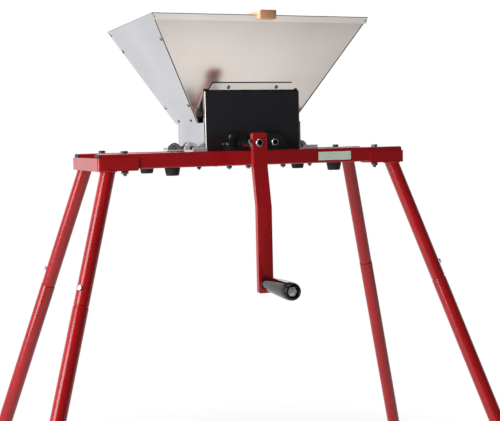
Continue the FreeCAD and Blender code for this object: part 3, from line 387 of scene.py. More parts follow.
def glossCover():
    finish = Finish("glossCover")
    x, y, z = finish.axes()
    faceLimit = place(0, coverLook["front"], 0).y
    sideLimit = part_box("gear_cover")[1].x - coverLook["edge"] * mm
    topLimit = place(0, 0, coverLook["top"]).z
    # face marks the front plate, whose near-black colour is a painted reflection of the dark room in front of
    # the stainless cover
    face = finish.sum("MULTIPLY", finish.sum("LESS_THAN", y, faceLimit), finish.sum("LESS_THAN", z, topLimit))
    face = finish.sum("MULTIPLY", face, finish.sum("LESS_THAN", finish.sum("ABSOLUTE", x, 0), sideLimit))
    cloud = finish.noise(7, detail=3)
    black = finish.colours(cloud, (0.3, shade(34, 35, 40)), (0.7, shade(39, 40, 45)))
    # the flange steel has the hopper front's warm, light tint, a painted reflection as on that panel
    steel = finish.colours(cloud, (0.3, shade(208, 202, 194)), (0.7, shade(222, 217, 210)))
    geometry = finish.nodes.new("ShaderNodeNewGeometry")
    facing = finish.nodes.new("ShaderNodeVectorMath")
    facing.operation = "DOT_PRODUCT"
    facing.inputs[1].default_value = coverLook["flangeFacing"]
    finish.links.new(geometry.outputs["Normal"], facing.inputs[0])
    across = finish.sum("LESS_THAN", facing.outputs["Value"], coverLook["shearedBelow"])
    sheared = finish.sum("MULTIPLY", across, finish.sum("GREATER_THAN", z, topLimit))
    cut = finish.colours(cloud, (0.3, shade(70, 68, 66)), (0.7, shade(96, 94, 92)))
    edged = finish.blend(sheared, steel, cut)
    # a mid-grey copy of the flange steel on the 2.2 mm strips along the front's bends and on the side
    # returns: painted highlight on the bends beside the dark face, painted shade on the returns
    returns = finish.colours(cloud, (0.3, shade(150, 146, 141)), (0.7, shade(166, 162, 157)))
    edged = finish.blend(finish.sum("LESS_THAN", z, topLimit), edged, returns)
    finish.drive("Base Color", finish.blend(face, edged, black))
    finish.drive("Metallic", finish.sum("SUBTRACT", 1, face))
    rough = finish.spread(cloud, 0.05, 0.09)
    bare = finish.sum("MULTIPLY", finish.sum("SUBTRACT", 1, face), 0.14)
    finish.drive("Roughness", finish.sum("ADD", rough, bare))
    finish.shader.inputs["Specular IOR Level"].default_value = 0.5
    finish.bump(finish.noise(5, detail=1), 0.2, 0.002)
    return finish.material


shaftX, shaftZ, boreShadeRadius = 38.0, 15.4, 4.4


def shaftSteel():
    # bright turned steel with a near-black disc in each end, painted shade for the bore
    finish = Finish("shaftSteel", Metallic=1.0)
    x, y, z = finish.axes()
    across = finish.sum("SUBTRACT", finish.sum("ABSOLUTE", x, 0), shaftX * mm)
    height = finish.sum("SUBTRACT", z, place(0, 0, shaftZ).z)
    squares = finish.sum("ADD", finish.sum("POWER", across, 2), finish.sum("POWER", height, 2))
    bore = finish.sum("LESS_THAN", finish.sum("SQRT", squares, 0), boreShadeRadius * mm)
    cloud = finish.noise(160, detail=5)
    steel = finish.colours(cloud, (0.3, shade(176, 177, 180)), (0.7, shade(214, 214, 215)))
    paintedBoreShade = finish.colours(cloud, (0.3, shade(24, 24, 25)), (0.7, shade(40, 40, 42)))
    finish.drive("Base Color", finish.blend(bore, steel, paintedBoreShade))
    finish.drive("Roughness", finish.spread(finish.noise(320, detail=3), 0.10, 0.18))
    finish.bump(finish.noise(500, stretch=(1, 0.1, 1), detail=2), 0.08, 0.0001)
    return finish.material


def beechWood():
    finish = Finish("beechWood", Specular_IOR_Level=0.3)
    grain = finish.noise(60, stretch=(1, 0.06, 1), detail=5, rough=0.6)
    flecks = finish.noise(420, stretch=(1, 0.12, 1), detail=2)
    tone = finish.sum("ADD", finish.sum("MULTIPLY", grain, 0.75), finish.sum("MULTIPLY", flecks, 0.25))
    side = finish.colours(tone, (0.34, shade(222, 184, 138)), (0.5, shade(240, 212, 170)),
                          (0.68, shade(248, 226, 188)))
    rings = finish.noise(180, detail=4, rough=0.65)
    end = finish.colours(rings, (0.3, shade(204, 148, 116)), (0.7, shade(226, 170, 136)))
    geometry = finish.nodes.new("ShaderNodeNewGeometry")
    split = finish.nodes.new("ShaderNodeSeparateXYZ")
    finish.links.new(geometry.outputs["Normal"], split.inputs[0])
    facing = finish.sum("ABSOLUTE", split.outputs["Y"], 0)
    ends = finish.spread(facing, 0, 1, 0.6, 0.8)
    finish.drive("Base Color", finish.blend(ends, side, end))
    finish.drive("Roughness", finish.spread(grain, 0.5, 0.68))
    finish.bump(flecks, 0.25, 0.0003)
    return finish.material


coverGloss = glossCover()
turnedSteel = shaftSteel()
wood = beechWood()

finishOf = {
    redPaint: ["front_rail", "back_rail", "left_end_bracket", "right_end_bracket", "crank_arm",
               *[part + "_leg_" + corner for part in ("upper", "lower")
                 for corner in ("front_left", "front_right", "back_left", "back_right")]],
    frontSteelPaintedReflection: ["hopper_front_panel", "hopper_back_panel"],
    sideSteelPaintedReflection: ["hopper_left_panel", "hopper_right_panel", "housing_side_left", "housing_side_right",
                "housing_front_wall", "housing_back_wall", "guide_plates"],
    zincPaintedLight: ["foot_brackets"],
    coverGloss: ["gear_cover"],
    zincPaintedShade: ["rail_bolts", "rail_nuts", "leg_bolts", "leg_nuts", "bumper_screws", "hopper_seam_screws",
                "throat_screws", "foot_bracket_bolts", "cover_screws", "bearing_bolts", "crank_set_screw",
                "grip_bolt", "grip_nut"],
    turnedSteel: ["drive_shaft", "driven_shaft"],
    oiledSteel: ["drive_collars", "driven_collar"],
    gearSteel: ["drive_gear", "driven_gear"],
    castAluminium: ["drive_roller", "driven_roller"],
    blackNylon: ["bearing_inserts"],
    blackPlastic: ["crank_grip"],
    plugPlastic: ["rail_end_plugs"],
    blackRubber: ["foot_caps", "rubber_bumpers"],
    blackCasting: ["front_bearing_left", "front_bearing_right", "rear_bearing_left", "rear_bearing_right"],
    labelFilm: ["blank_label"],
    wood: ["wooden_pusher"],
}
for material, names in finishOf.items():
    for name in names:
        for slot in cadNodes[name].material_slots:
            slot.material = material
print("finishes on the frame")


# Modelling helpers

def openMesh():
    bpy.ops.object.mode_set(mode="EDIT")


def closeMesh():
    bpy.ops.object.mode_set(mode="OBJECT")


def extrudeBy(step):
    bpy.ops.mesh.extrude_region_move(TRANSFORM_OT_translate={"value": step})


def only(*objects):
    if bpy.context.object and bpy.context.object.mode != "OBJECT":
        closeMesh()
    bpy.ops.object.select_all(action="DESELECT")
    for one in objects:
        one.select_set(True)
    bpy.context.view_layer.objects.active = objects[0]


def discard(piece):
    only(piece)
    bpy.ops.object.delete()


def named(piece, name, material):
    piece.name = name
    piece.data.name = name
    piece.data.materials.clear()
    piece.data.materials.append(material)
    return piece


def settle(piece):
    only(piece)
    bpy.ops.object.transform_apply(location=True, rotation=True, scale=True)


def applied(piece, kind, **values):
    only(piece)
    bpy.ops.object.modifier_add(type=kind)
    modifier = piece.modifiers[-1]
    for key, value in values.items():
        setattr(modifier, key, value)
    bpy.ops.object.modifier_apply(modifier=modifier.name)


def smooth(piece, angle=35):
    only(piece)
    bpy.ops.object.shade_smooth_by_angle(angle=math.radians(angle))


def clean(piece):
    only(piece)
    openMesh()
    bpy.ops.mesh.select_all(action="SELECT")
    bpy.ops.mesh.remove_doubles(threshold=1e-6)
    bpy.ops.mesh.normals_make_consistent(inside=False)
    closeMesh()


def pick(piece, kind, wanted):
    # kind is VERT or EDGE
    bpy.ops.mesh.select_mode(type=kind)
    bpy.ops.mesh.select_all(action="DESELECT")
    shape = bmesh.from_edit_mesh(piece.data)
    for part in shape.verts if kind == "VERT" else shape.edges:
        if wanted(part):
            part.select_set(True)
    bmesh.update_edit_mesh(piece.data)


def latheAroundZ(profile, steps):
    # one corner of a small plane is drawn out along the profile and spun round Z
    radius, height = profile[0]
    bpy.ops.mesh.primitive_plane_add(size=mm, location=(radius * mm, 0, height * mm))
    piece = bpy.context.object
    settle(piece)
    openMesh()
    bpy.ops.mesh.select_mode(type="VERT")
    bpy.ops.mesh.select_all(action="SELECT")
    bpy.ops.mesh.merge(type="CENTER")
    for (r0, h0), (r1, h1) in zip(profile, profile[1:]):
        extrudeBy(((r1 - r0) * mm, 0, (h1 - h0) * mm))
    bpy.ops.mesh.select_all(action="SELECT")
    bpy.ops.mesh.spin(steps=steps, angle=2 * math.pi, center=(0, 0, 0), axis=(0, 0, 1))
    closeMesh()
    clean(piece)
    return piece


def join(pieces):
    only(*pieces)
    if len(pieces) > 1:
        bpy.ops.object.join()
    return bpy.context.object


def copiesAt(master, spots):
    # each spot is a point and the way that the master's Z axis turns to
    made = []
    for point, way in spots:
        only(master)
        bpy.ops.object.duplicate()
        copy = bpy.context.object
        copy.rotation_mode = "QUATERNION"
        copy.rotation_quaternion = Vector(way).to_track_quat("Z", "Y")
        copy.location = point
        settle(copy)
        made.append(copy)
    discard(master)
    return join(made)


def dragTo(piece, moves):
    # each vertex nearest to the first point goes to the second
    only(piece)
    openMesh()
    bpy.ops.mesh.select_mode(type="VERT")
    for source, target in moves:
        bpy.ops.mesh.select_all(action="DESELECT")
        shape = bmesh.from_edit_mesh(piece.data)
        nearest = min(shape.verts, key=lambda vertex: (vertex.co - source).length)
        step = target - nearest.co
        nearest.select_set(True)
        bmesh.update_edit_mesh(piece.data)
        bpy.ops.transform.translate(value=step)
    closeMesh()


def trapezoid(*corners):
    bpy.ops.mesh.primitive_plane_add(size=0.1)
    piece = bpy.context.object
    starts = ((-0.05, -0.05), (0.05, -0.05), (0.05, 0.05), (-0.05, 0.05))
    dragTo(piece, [(Vector((x, y, 0)), corner) for (x, y), corner in zip(starts, corners)])
    return piece


def softCopy(node, width, segments=2, angle=30):
    # a merged copy of a CAD node, its sharp edges rounded where there is room
    only(cadNodes[node])
    bpy.ops.object.duplicate()
    copy = bpy.context.object
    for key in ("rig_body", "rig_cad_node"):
        if key in copy:
            del copy[key]
    copy.parent = None
    openMesh()
    bpy.ops.mesh.select_all(action="SELECT")
    bpy.ops.mesh.customdata_custom_splitnormals_clear()
    bpy.ops.mesh.remove_doubles(threshold=2e-6)
    bpy.ops.mesh.dissolve_limited(angle_limit=math.radians(1))
    closeMesh()
    applied(copy, "BEVEL", width=width * mm, segments=segments, limit_method="ANGLE",
            angle_limit=math.radians(angle), harden_normals=False)
    smooth(copy, 40)
    return copy


def standFor(piece, name, material, body, *nodes):
    if not piece.data.materials or piece.data.materials[0] != material:
        named(piece, name, material)
    piece.name = name
    piece.data.name = name
    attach(piece, body)
    if nodes:
        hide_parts(*nodes)
    print("made", name)
    return piece


# Places from the drawing

stand = {
    "length": 661.0, "depth": 234.0, "railMiddle": 23.0, "railHeight": 30.0, "underSheet": -33.0,
    "boltX": 272.0, "legInsetX": 23.0, "legInsetY": 14.0, "leanX": 16.8, "leanY": 14.36,
    "seamDrop": 280.0, "legBoltRise": 33.0, "legRadius": 15.0,
}
hopper = {
    "lowZ": 57.0, "lowHalf": 106.4, "lowFront": 71.0, "lowBack": 214.0,
    "topZ": 262.65, "topHalf": 227.6, "topFront": -41.6, "topBack": 314.1, "sheet": 1.2,
}
down, up = Vector((0, 0, -1)), Vector((0, 0, 1))


def fourWays(point, way=(0, 0, 1)):
    spots = []
    for right in (-1, 1):
        for back in (False, True):
            x, y, z = point
            u, v, w = way
            if back:
                y, v = stand["depth"] - y, -v
            spots.append((place(-right * x, y, z), Vector((-right * u, v, w))))
    return spots


def legLine():
    lean = Vector((-math.tan(math.radians(stand["leanX"])), -math.tan(math.radians(stand["leanY"])), -1))
    top = Vector((-stand["length"] / 2 + stand["legInsetX"], stand["legInsetY"], stand["underSheet"]))
    seam = top + lean * (stand["seamDrop"] + stand["underSheet"])
    lean.normalize()
    level = Vector((lean.x, lean.y, 0))
    out = (level - lean * level.dot(lean)).normalized()
    return top, seam, lean, out


# Bolts, nuts and screws. A bolt's seat is at the origin and its head stands up along Z.

bolts = {
    "m8": {"shank": 8.0, "flats": 13.0, "head": 5.3, "nut": 6.5, "pitch": 1.25},
    "m6": {"shank": 6.0, "flats": 10.0, "head": 4.0, "nut": 5.0, "pitch": 1.0},
    "m5": {"shank": 5.0, "flats": 8.0, "head": 3.5, "nut": 4.0, "pitch": 0.8},
    "m4": {"shank": 4.0, "flats": 7.0, "head": 2.0, "nut": 3.2, "pitch": 0.7},
    "chamfer": 0.06,         # share of the width across flats
    "threadDepth": 0.6,      # share of the pitch
    "underHead": 0.47,       # radius of the face under the head, as a share of the flats
    "keyWidth": 0.42,        # the socket of a domed screw, as shares of its radius and rise
    "keyDepth": 1.2,
    "domeSteps": 6,
    "domedThread": 0.8,      # share of a domed screw's length
}


def threadedShank(size, length, threaded):
    radius, pitch = size["shank"] / 2, size["pitch"]
    core = radius - pitch * bolts["threadDepth"]
    profile = [(0, 0.2), (radius, 0.2), (radius, -(length - threaded))]
    height = -(length - threaded)
    while height - pitch > -length + pitch:
        profile += [(core, height - pitch / 2), (radius, height - pitch)]
        height -= pitch
    profile += [(core, -length + pitch / 2), (core, -length), (0, -length)]
    return latheAroundZ(profile, 20)


def hexBlock(flats, low, high, chamferTop, chamferLow):
    bpy.ops.mesh.primitive_cylinder_add(vertices=6, radius=flats / math.sqrt(3) * mm,
                                        depth=(high - low) * mm, location=(0, 0, (low + high) / 2 * mm),
                                        rotation=(0, 0, math.pi / 2))
    block = bpy.context.object
    settle(block)
    openMesh()
    wantedHeights = ([high * mm] if chamferTop else []) + ([low * mm] if chamferLow else [])
    pick(block, "EDGE", lambda edge: any(all(abs(v.co.z - height) < 1e-6 for v in edge.verts)
                                         for height in wantedHeights))
    bpy.ops.mesh.bevel(offset=flats * bolts["chamfer"] * mm, segments=2, affect="EDGES")
    closeMesh()
    return block


def hexBolt(size, length, threaded):
    head = hexBlock(size["flats"], 0.3, size["head"], True, False)
    under = size["flats"] * bolts["underHead"]
    face = latheAroundZ([(0, 0), (under, 0), (under, 0.4), (0, 0.4)], 24)
    bolt = join([head, face, threadedShank(size, length, threaded)])
    smooth(bolt, 30)
    return bolt


def hexNut(size):
    # a flat ring between a hexagon and a circle, given its thickness and rounded edges
    bpy.ops.mesh.primitive_circle_add(vertices=24, radius=size["shank"] / 2 * mm,
                                      rotation=(0, 0, math.pi / 2))
    inner = bpy.context.object
    bpy.ops.mesh.primitive_circle_add(vertices=6, radius=size["flats"] / math.sqrt(3) * mm,
                                      rotation=(0, 0, math.pi / 2))
    nut = join([bpy.context.object, inner])
    openMesh()
    bpy.ops.mesh.select_all(action="SELECT")
    bpy.ops.mesh.bridge_edge_loops()
    closeMesh()
    applied(nut, "SOLIDIFY", thickness=size["nut"] * mm, offset=1)
    clean(nut)
    lowest = min(vertex.co.z for vertex in nut.data.vertices)
    nut.location.z = -lowest
    settle(nut)
    applied(nut, "BEVEL", width=size["flats"] * bolts["chamfer"] * mm, segments=2, limit_method="ANGLE",
            angle_limit=math.radians(70))
    smooth(nut, 30)
    return nut


def domedScrew(size, length):
    rise, radius = size["head"], size["shank"]
    dome = [(0, rise)]
    for step in range(1, bolts["domeSteps"] + 1):
        share = step / bolts["domeSteps"]
        dome.append((radius * math.sin(share * math.pi / 2), rise * math.cos(share * math.pi / 2)))
    head = latheAroundZ(dome + [(radius, -0.01), (0, -0.01)], 28)
    bpy.ops.mesh.primitive_cylinder_add(vertices=6, radius=radius * bolts["keyWidth"] * mm,
                                        depth=rise * bolts["keyDepth"] * mm,
                                        location=(0, 0, rise * bolts["keyDepth"] * mm))
    key = bpy.context.object
    settle(key)
    applied(head, "BOOLEAN", operation="DIFFERENCE", object=key, solver="EXACT")
    discard(key)
    screw = join([head, threadedShank(size, length, length * bolts["domedThread"])])
    smooth(screw, 30)
    return screw


boltLengths = {
    "rail": (43.5, 16), "leg": (14, 9), "lug": (39, 12), "ear": (10.5, 6), "bearing": (49, 14),
    "crank": (7.4, 5), "gripThread": 26, "gripTail": 4,
}


def railFasteners():
    size = bolts["m8"]
    heads = copiesAt(hexBolt(size, *boltLengths["rail"]), fourWays((stand["boltX"], stand["railMiddle"], 0)))
    standFor(heads, "railBoltSet", zincPaintedShade, "frame", "rail_bolts")
    nuts = copiesAt(hexNut(size), fourWays((stand["boltX"], stand["railMiddle"], stand["underSheet"]), down))
    standFor(nuts, "railNutSet", zincPaintedShade, "frame", "rail_nuts")


def mirrored(piece):
    # the front left piece and its three copies at the other corners, mirrored in X and in Y
    made = [piece]
    middle = place(0, stand["depth"] / 2, 0).y
    for turnX, turnY in ((-1, 1), (1, -1), (-1, -1)):
        only(piece)
        bpy.ops.object.duplicate()
        copy = bpy.context.object
        copy.scale = (turnX, turnY, 1)
        copy.location = (0, 2 * middle if turnY < 0 else 0, 0)
        settle(copy)
        clean(copy)
        made.append(copy)
    return join(made)


def trimmed(piece, height, keepBelow):
    only(piece)
    openMesh()
    bpy.ops.mesh.select_all(action="SELECT")
    bpy.ops.mesh.bisect(plane_co=(0, 0, height), plane_no=(0, 0, 1), use_fill=True,
                        clear_outer=keepBelow, clear_inner=not keepBelow)
    closeMesh()
    clean(piece)


def alongLeg(profile, steps, point, lean):
    tube = latheAroundZ(profile, steps)
    tube.rotation_mode = "QUATERNION"
    tube.rotation_quaternion = (-lean).to_track_quat("Z", "Y")
    tube.location = place(*point)
    settle(tube)
    return tube


legs = {
    "upper": 14.4, "neck": 13.4, "neckRise": 1.8, "neckSlope": 0.6, "mouth": 14.6, "lower": 15.0,
    "lip": 1.3, "offFloor": 3.0, "aboveTop": 14.0, "start": 0.2, "steps": 44,
}


def legTubes():
    top, seam, lean, _ = legLine()
    length = (top - seam).length
    drop = (drawingZero.z / mm + seam.z) / abs(lean.z)
    radius, neck, end = legs["upper"], legs["neck"], length + legs["aboveTop"]
    shoulder = legs["neckRise"] + legs["neckSlope"]
    upper = alongLeg([(0, legs["start"]), (neck, legs["start"]), (neck, legs["neckRise"]), (radius, shoulder),
                      (radius, end), (0, end)], legs["steps"], seam, lean)
    trimmed(upper, place(0, 0, stand["underSheet"]).z, True)
    radius, mouth = legs["lower"], legs["mouth"]
    lower = alongLeg([(0, -drop), (radius, -drop), (radius, -legs["lip"]), (radius - 0.25, -0.4), (mouth, 0),
                      (mouth - 0.3, -0.5), (0, -0.5)], legs["steps"], seam, lean)
    trimmed(lower, legs["offFloor"] * mm, False)
    corners = [side + "_" + hand for side in ("front", "back") for hand in ("left", "right")]
    for piece, part in ((upper, "upper"), (lower, "lower")):
        tubes = mirrored(piece)
        smooth(tubes, 35)
        standFor(tubes, part + "Legs", redPaint, "frame", *[part + "_leg_" + corner for corner in corners])


def legFasteners():
    # short bolts that point outwards over each leg's lean
    size = bolts["m6"]
    _, seam, lean, out = legLine()
    middle = seam - lean * stand["legBoltRise"]
    head = middle + out * legs["upper"]
    spots = fourWays((-head.x, head.y, head.z), (-out.x, out.y, out.z))
    heads = copiesAt(hexBolt(size, *boltLengths["leg"]), spots)
    standFor(heads, "legBoltSet", sideSteelPaintedReflection, "frame", "leg_bolts", "leg_nuts")


# Fasteners of the lugs: down through the rails, and level through the lugs and the walls' ears

lugs = {"x": 120.5, "sheet": 3.0, "boltZ": 7.0, "frontY": 68.0, "backY": 191.5, "wall": 1.5}


def lugFasteners():
    size = bolts["m5"]
    rails = fourWays((lugs["x"], stand["railMiddle"], lugs["sheet"]))
    under = fourWays((lugs["x"], stand["railMiddle"], -stand["railHeight"]), down)
    parts = [copiesAt(hexBolt(size, *boltLengths["lug"]), rails), copiesAt(hexNut(size), under)]
    stack = lugs["sheet"] + lugs["wall"]
    heads, tails = [], []
    for x in (-lugs["x"], lugs["x"]):
        for y, side in ((lugs["frontY"], -1), (lugs["backY"], 1)):
            heads.append((place(x, y, lugs["boltZ"]), Vector((0, side, 0))))
            tails.append((place(x, y - side * stack, lugs["boltZ"]), Vector((0, -side, 0))))
    parts += [copiesAt(hexBolt(size, *boltLengths["ear"]), heads), copiesAt(hexNut(size), tails)]
    standFor(join(parts), "lugBoltSet", zincPaintedShade, "frame", "foot_bracket_bolts")


bearing = {"offset": 20.5, "y": 17.5, "foot": 12.0}


def bearingFasteners():
    size = bolts["m6"]
    heads, nuts = [], []
    for offset in (-bearing["offset"], bearing["offset"]):
        heads += fourWays((shaftX + offset, bearing["y"], bearing["foot"]))
        nuts += fourWays((shaftX + offset, bearing["y"], -stand["railHeight"]), down)
    parts = [copiesAt(hexBolt(size, *boltLengths["bearing"]), heads), copiesAt(hexNut(size), nuts)]
    standFor(join(parts), "bearingBoltSet", zincPaintedShade, "frame", "bearing_bolts")


def hopperWall(z):
    # outer surface of the side, front and back panels at a height
    share = (z - hopper["lowZ"]) / (hopper["topZ"] - hopper["lowZ"])
    side = hopper["lowHalf"] + share * (hopper["topHalf"] - hopper["lowHalf"])
    front = hopper["lowFront"] + share * (hopper["topFront"] - hopper["lowFront"])
    back = hopper["lowBack"] + share * (hopper["topBack"] - hopper["lowBack"])
    return side, front, back


hopperRise = hopper["topZ"] - hopper["lowZ"]
sideSlope = (hopper["topHalf"] - hopper["lowHalf"]) / hopperRise
frontSlope = (hopper["lowFront"] - hopper["topFront"]) / hopperRise
seams = {"heights": (92.7, 217.8), "flange": 15.0, "throatFlange": 13.0, "throatInset": 30.0,
         "seamStack": 2.4, "throatStack": 2.7}


def screwsAt(seats, stack):
    # a domed screw in from each seat and its nut behind the stack of sheets
    size = bolts["m4"]
    behind = [(seat - out * stack * mm, -out) for seat, out in seats]
    return join([copiesAt(domedScrew(size, stack + size["nut"] + 1), seats), copiesAt(hexNut(size), behind)])


def screwRows(places, stack):
    seats = [(place(side * x, y, z), Vector((side, 0, -sideSlope)).normalized())
             for x, y, z in places for side in (-1, 1)]
    return screwsAt(seats, stack)


def sheetFasteners():
    rows = []
    for z in seams["heights"]:
        side, front, back = hopperWall(z)
        inset = hopper["sheet"] * math.hypot(1, frontSlope) + seams["flange"] / 2
        rows += [(side, front + inset, z), (side, back - inset, z)]
    standFor(screwRows(rows, seams["seamStack"]), "seamScrewSet", zincPaintedShade, "frame", "hopper_seam_screws")
    z = hopper["lowZ"] + seams["throatFlange"] / 2
    side = hopperWall(z)[0]
    ends = (hopper["lowFront"] + seams["throatInset"], hopper["lowBack"] - seams["throatInset"])
    rows = [(side, y, z) for y in ends]
    standFor(screwRows(rows, seams["throatStack"]), "throatScrewSet", zincPaintedShade, "frame", "throat_screws")


# Hopper panels, each folded from one sheet with a flat hem along its rim

sheets = {"outerRoll": 0.15, "innerRoll": 1.35, "outerHem": 12.0, "innerHem": 9.0, "fold": 1.6, "joint": 0.25,
          "rollTurns": 6}


def hopperSheet(name, node, steel, low, rim, way, seamed):
    # low and rim each give the panel's two end points; way points out of the hopper. The seamed
    # front and back have their hem on the outside, the sides on the inside.
    sheet = trapezoid(low[0], low[1], rim[1], rim[0])
    climb = ((rim[0] + rim[1] - low[0] - low[1]) / 2).normalized()
    openMesh()
    pick(sheet, "EDGE", lambda edge: all(abs(v.co.z - rim[0].z) < 1e-5 for v in edge.verts))
    kind = "outer" if seamed else "inner"
    radius = sheets[kind + "Roll"] * mm
    over = way if seamed else -way
    turns = sheets["rollTurns"]
    for turn in range(turns):
        before, after = math.pi * turn / turns, math.pi * (turn + 1) / turns
        step = over * (math.cos(before) - math.cos(after)) + up * (math.sin(after) - math.sin(before))
        extrudeBy(step * radius)
    extrudeBy(-climb * sheets[kind + "Hem"] * mm)
    if seamed:
        tall = (rim[0].z - low[0].z) * 0.9
        pick(sheet, "EDGE", lambda edge: abs(edge.verts[0].co.z - edge.verts[1].co.z) > tall)
        extrudeBy(-way * seams["flange"] * mm)
    bpy.ops.mesh.select_all(action="SELECT")
    bpy.ops.mesh.normals_make_consistent(inside=False)
    closeMesh()
    widest = max(sheet.data.polygons, key=lambda face: face.area)
    if widest.normal.dot(way) < 0:
        openMesh()
        bpy.ops.mesh.select_all(action="SELECT")
        bpy.ops.mesh.flip_normals()
        closeMesh()
    named(sheet, name, steel)
    # the second slot is the darker cut-edge metal, partly painted shade, for the rim faces and the rolled top
    # of the hem
    sheet.data.materials.append(cutEdgeSeamShade)
    applied(sheet, "BEVEL", width=sheets["fold"] * mm, segments=4, limit_method="ANGLE",
            angle_limit=math.radians(45))
    applied(sheet, "SOLIDIFY", thickness=hopper["sheet"] * mm, offset=-1, use_even_offset=True,
            material_offset_rim=1)
    for face in sheet.data.polygons:
        if face.center.z > rim[0].z:
            face.material_index = 1
    smooth(sheet, 35)
    standFor(sheet, name, steel, "frame", node)


def hopperSheets():
    inset = hopper["sheet"] * math.hypot(1, sideSlope) + sheets["joint"]
    corners = {}
    for level in (hopper["lowZ"], hopper["topZ"]):
        side, front, back = hopperWall(level)
        across = side - inset
        panels = {
            "front": ((-across, front), (across, front)), "back": ((across, back), (-across, back)),
            "left": ((-side, back), (-side, front)), "right": ((side, front), (side, back)),
        }
        for key, ends in panels.items():
            corners.setdefault(key, []).append([place(x, y, level) for x, y in ends])
    ahead, left = Vector((0, -1, 0)), Vector((-1, 0, 0))
    hopperSheet("hopperFront", "hopper_front_panel", frontSteelPaintedReflection, *corners["front"], ahead, True)
    hopperSheet("hopperBack", "hopper_back_panel", frontSteelPaintedReflection, *corners["back"], -ahead, True)
    hopperSheet("hopperLeft", "hopper_left_panel", sideSteelPaintedReflection, *corners["left"], left, False)
    hopperSheet("hopperRight", "hopper_right_panel", sideSteelPaintedReflection, *corners["right"], -left, False)


cover = {"screwX": 52.0, "topZ": 120.0, "flange": 18.5, "sheet": 1.5, "gap": 0.3, "slope": 0.5642}


def coverFasteners():
    run = math.hypot(1, cover["slope"])
    out = Vector((0, -1 / run, -cover["slope"] / run))
    z = cover["topZ"] + cover["flange"] / run / 2
    surface = hopper["lowFront"] - cover["slope"] * (z - hopper["lowZ"]) - cover["gap"]
    stack = cover["sheet"] + cover["gap"] + hopper["sheet"]
    seats = [(place(x, surface, z) + out * cover["sheet"] * mm, out)
             for x in (-cover["screwX"], cover["screwX"])]
    standFor(screwsAt(seats, stack), "coverScrewSet", zincPaintedShade, "frame", "cover_screws")


# Crank, grip and its bolt

crank = {
    "front": -99.5, "thickness": 12.0, "width": 30.0, "jog": 17.0, "throw": 268.0,
    "jogTop": -26.0, "jogLow": -107.0, "top": 34.4, "bottom": -271.6,
    "edge": 0.9, "corner": 3.6, "bend": 2.5, "shaftBore": 8.05, "boltBore": 5.1,
    "screwFlats": 13.0, "boltFlats": 17.0, "boltShank": 10.0,
}
grip = {
    "length": 130.0, "base": 25.0, "end": 34.5, "gap": 0.3, "bore": 10.16, "recess": 22.0,
    "recessDepth": 11.0, "taperStart": 8.6, "taperEnd": 20.0, "taperSteps": 10, "swell": 0.12, "steps": 72,
}
crankLow = crank["front"] - crank["jog"]
gripZ = shaftZ - crank["throw"]
gripFront = crankLow - grip["gap"] - grip["length"]


def crankArm():
    path = [(crank["front"], crank["top"]), (crank["front"], crank["jogTop"]), (crankLow, crank["jogLow"]),
            (crankLow, crank["bottom"])]
    half, deep = crank["width"] / 2, crank["thickness"]
    y, z = path[0]
    left, right = -shaftX - half, -shaftX + half
    corners = ((left, y), (right, y), (right, y + deep), (left, y + deep))
    arm = trapezoid(*[place(*corner, z) for corner in corners])
    openMesh()
    bpy.ops.mesh.select_mode(type="FACE")
    bpy.ops.mesh.select_all(action="SELECT")
    for (y0, z0), (y1, z1) in zip(path, path[1:]):
        extrudeBy((0, (y1 - y0) * mm, (z1 - z0) * mm))
    closeMesh()
    clean(arm)
    bendHeights = [place(0, 0, crank[key]).z for key in ("jogTop", "jogLow")]
    endHeights = [place(0, 0, crank[key]).z for key in ("top", "bottom")]

    def runs(edge, axis, heights):
        along = (edge.verts[1].co - edge.verts[0].co).normalized()
        return abs(along[axis]) > 0.99 and any(abs(edge.verts[0].co.z - height) < 1e-5 for height in heights)

    for axis, heights, radius in ((0, bendHeights, crank["bend"]), (1, endHeights, crank["corner"])):
        openMesh()
        pick(arm, "EDGE", lambda edge: runs(edge, axis, heights))
        bpy.ops.mesh.bevel(offset=radius * mm, segments=5, affect="EDGES")
        closeMesh()
    applied(arm, "BEVEL", width=crank["edge"] * mm, segments=3, limit_method="ANGLE",
            angle_limit=math.radians(50))
    smooth(arm, 40)
    applied(arm, "WEIGHTED_NORMAL", keep_sharp=True)
    bores = ((crank["front"], shaftZ, crank["shaftBore"]), (crankLow, gripZ, crank["boltBore"]))
    for y, z, radius in bores:
        bpy.ops.mesh.primitive_cylinder_add(vertices=48, radius=radius * mm, depth=deep * 2 * mm,
                                            location=place(-shaftX, y + deep / 2, z),
                                            rotation=(math.pi / 2, 0, 0))
        bore = bpy.context.object
        applied(arm, "BOOLEAN", operation="DIFFERENCE", object=bore, solver="EXACT")
        discard(bore)
    standFor(arm, "crankBar", redPaint, "drive_train", "crank_arm")


def crankScrew():
    size = dict(bolts["m8"], flats=crank["screwFlats"])
    seat = place(-shaftX - crank["width"] / 2, crank["front"] + crank["thickness"] / 2, shaftZ)
    screw = copiesAt(hexBolt(size, *boltLengths["crank"]), [(seat, Vector((-1, 0, 0)))])
    standFor(screw, "crankScrew", zincPaintedShade, "drive_train", "crank_set_screw")


def gripFasteners():
    size = {"shank": crank["boltShank"], "flats": crank["boltFlats"], "head": 5.3, "nut": 6.5, "pitch": 1.5}
    headY = gripFront + grip["recessDepth"] - grip["gap"]
    nutY = crankLow + crank["thickness"]
    length = nutY + size["nut"] + boltLengths["gripTail"] - headY
    seat = (place(-shaftX, headY, gripZ), Vector((0, -1, 0)))
    bolt = copiesAt(hexBolt(size, length, boltLengths["gripThread"]), [seat])
    standFor(bolt, "gripBolt", zincPaintedLight, "drive_train", "grip_bolt")
    nut = copiesAt(hexNut(size), [(place(-shaftX, nutY, gripZ), Vector((0, 1, 0)))])
    standFor(nut, "gripNut", zincPaintedShade, "drive_train", "grip_nut")


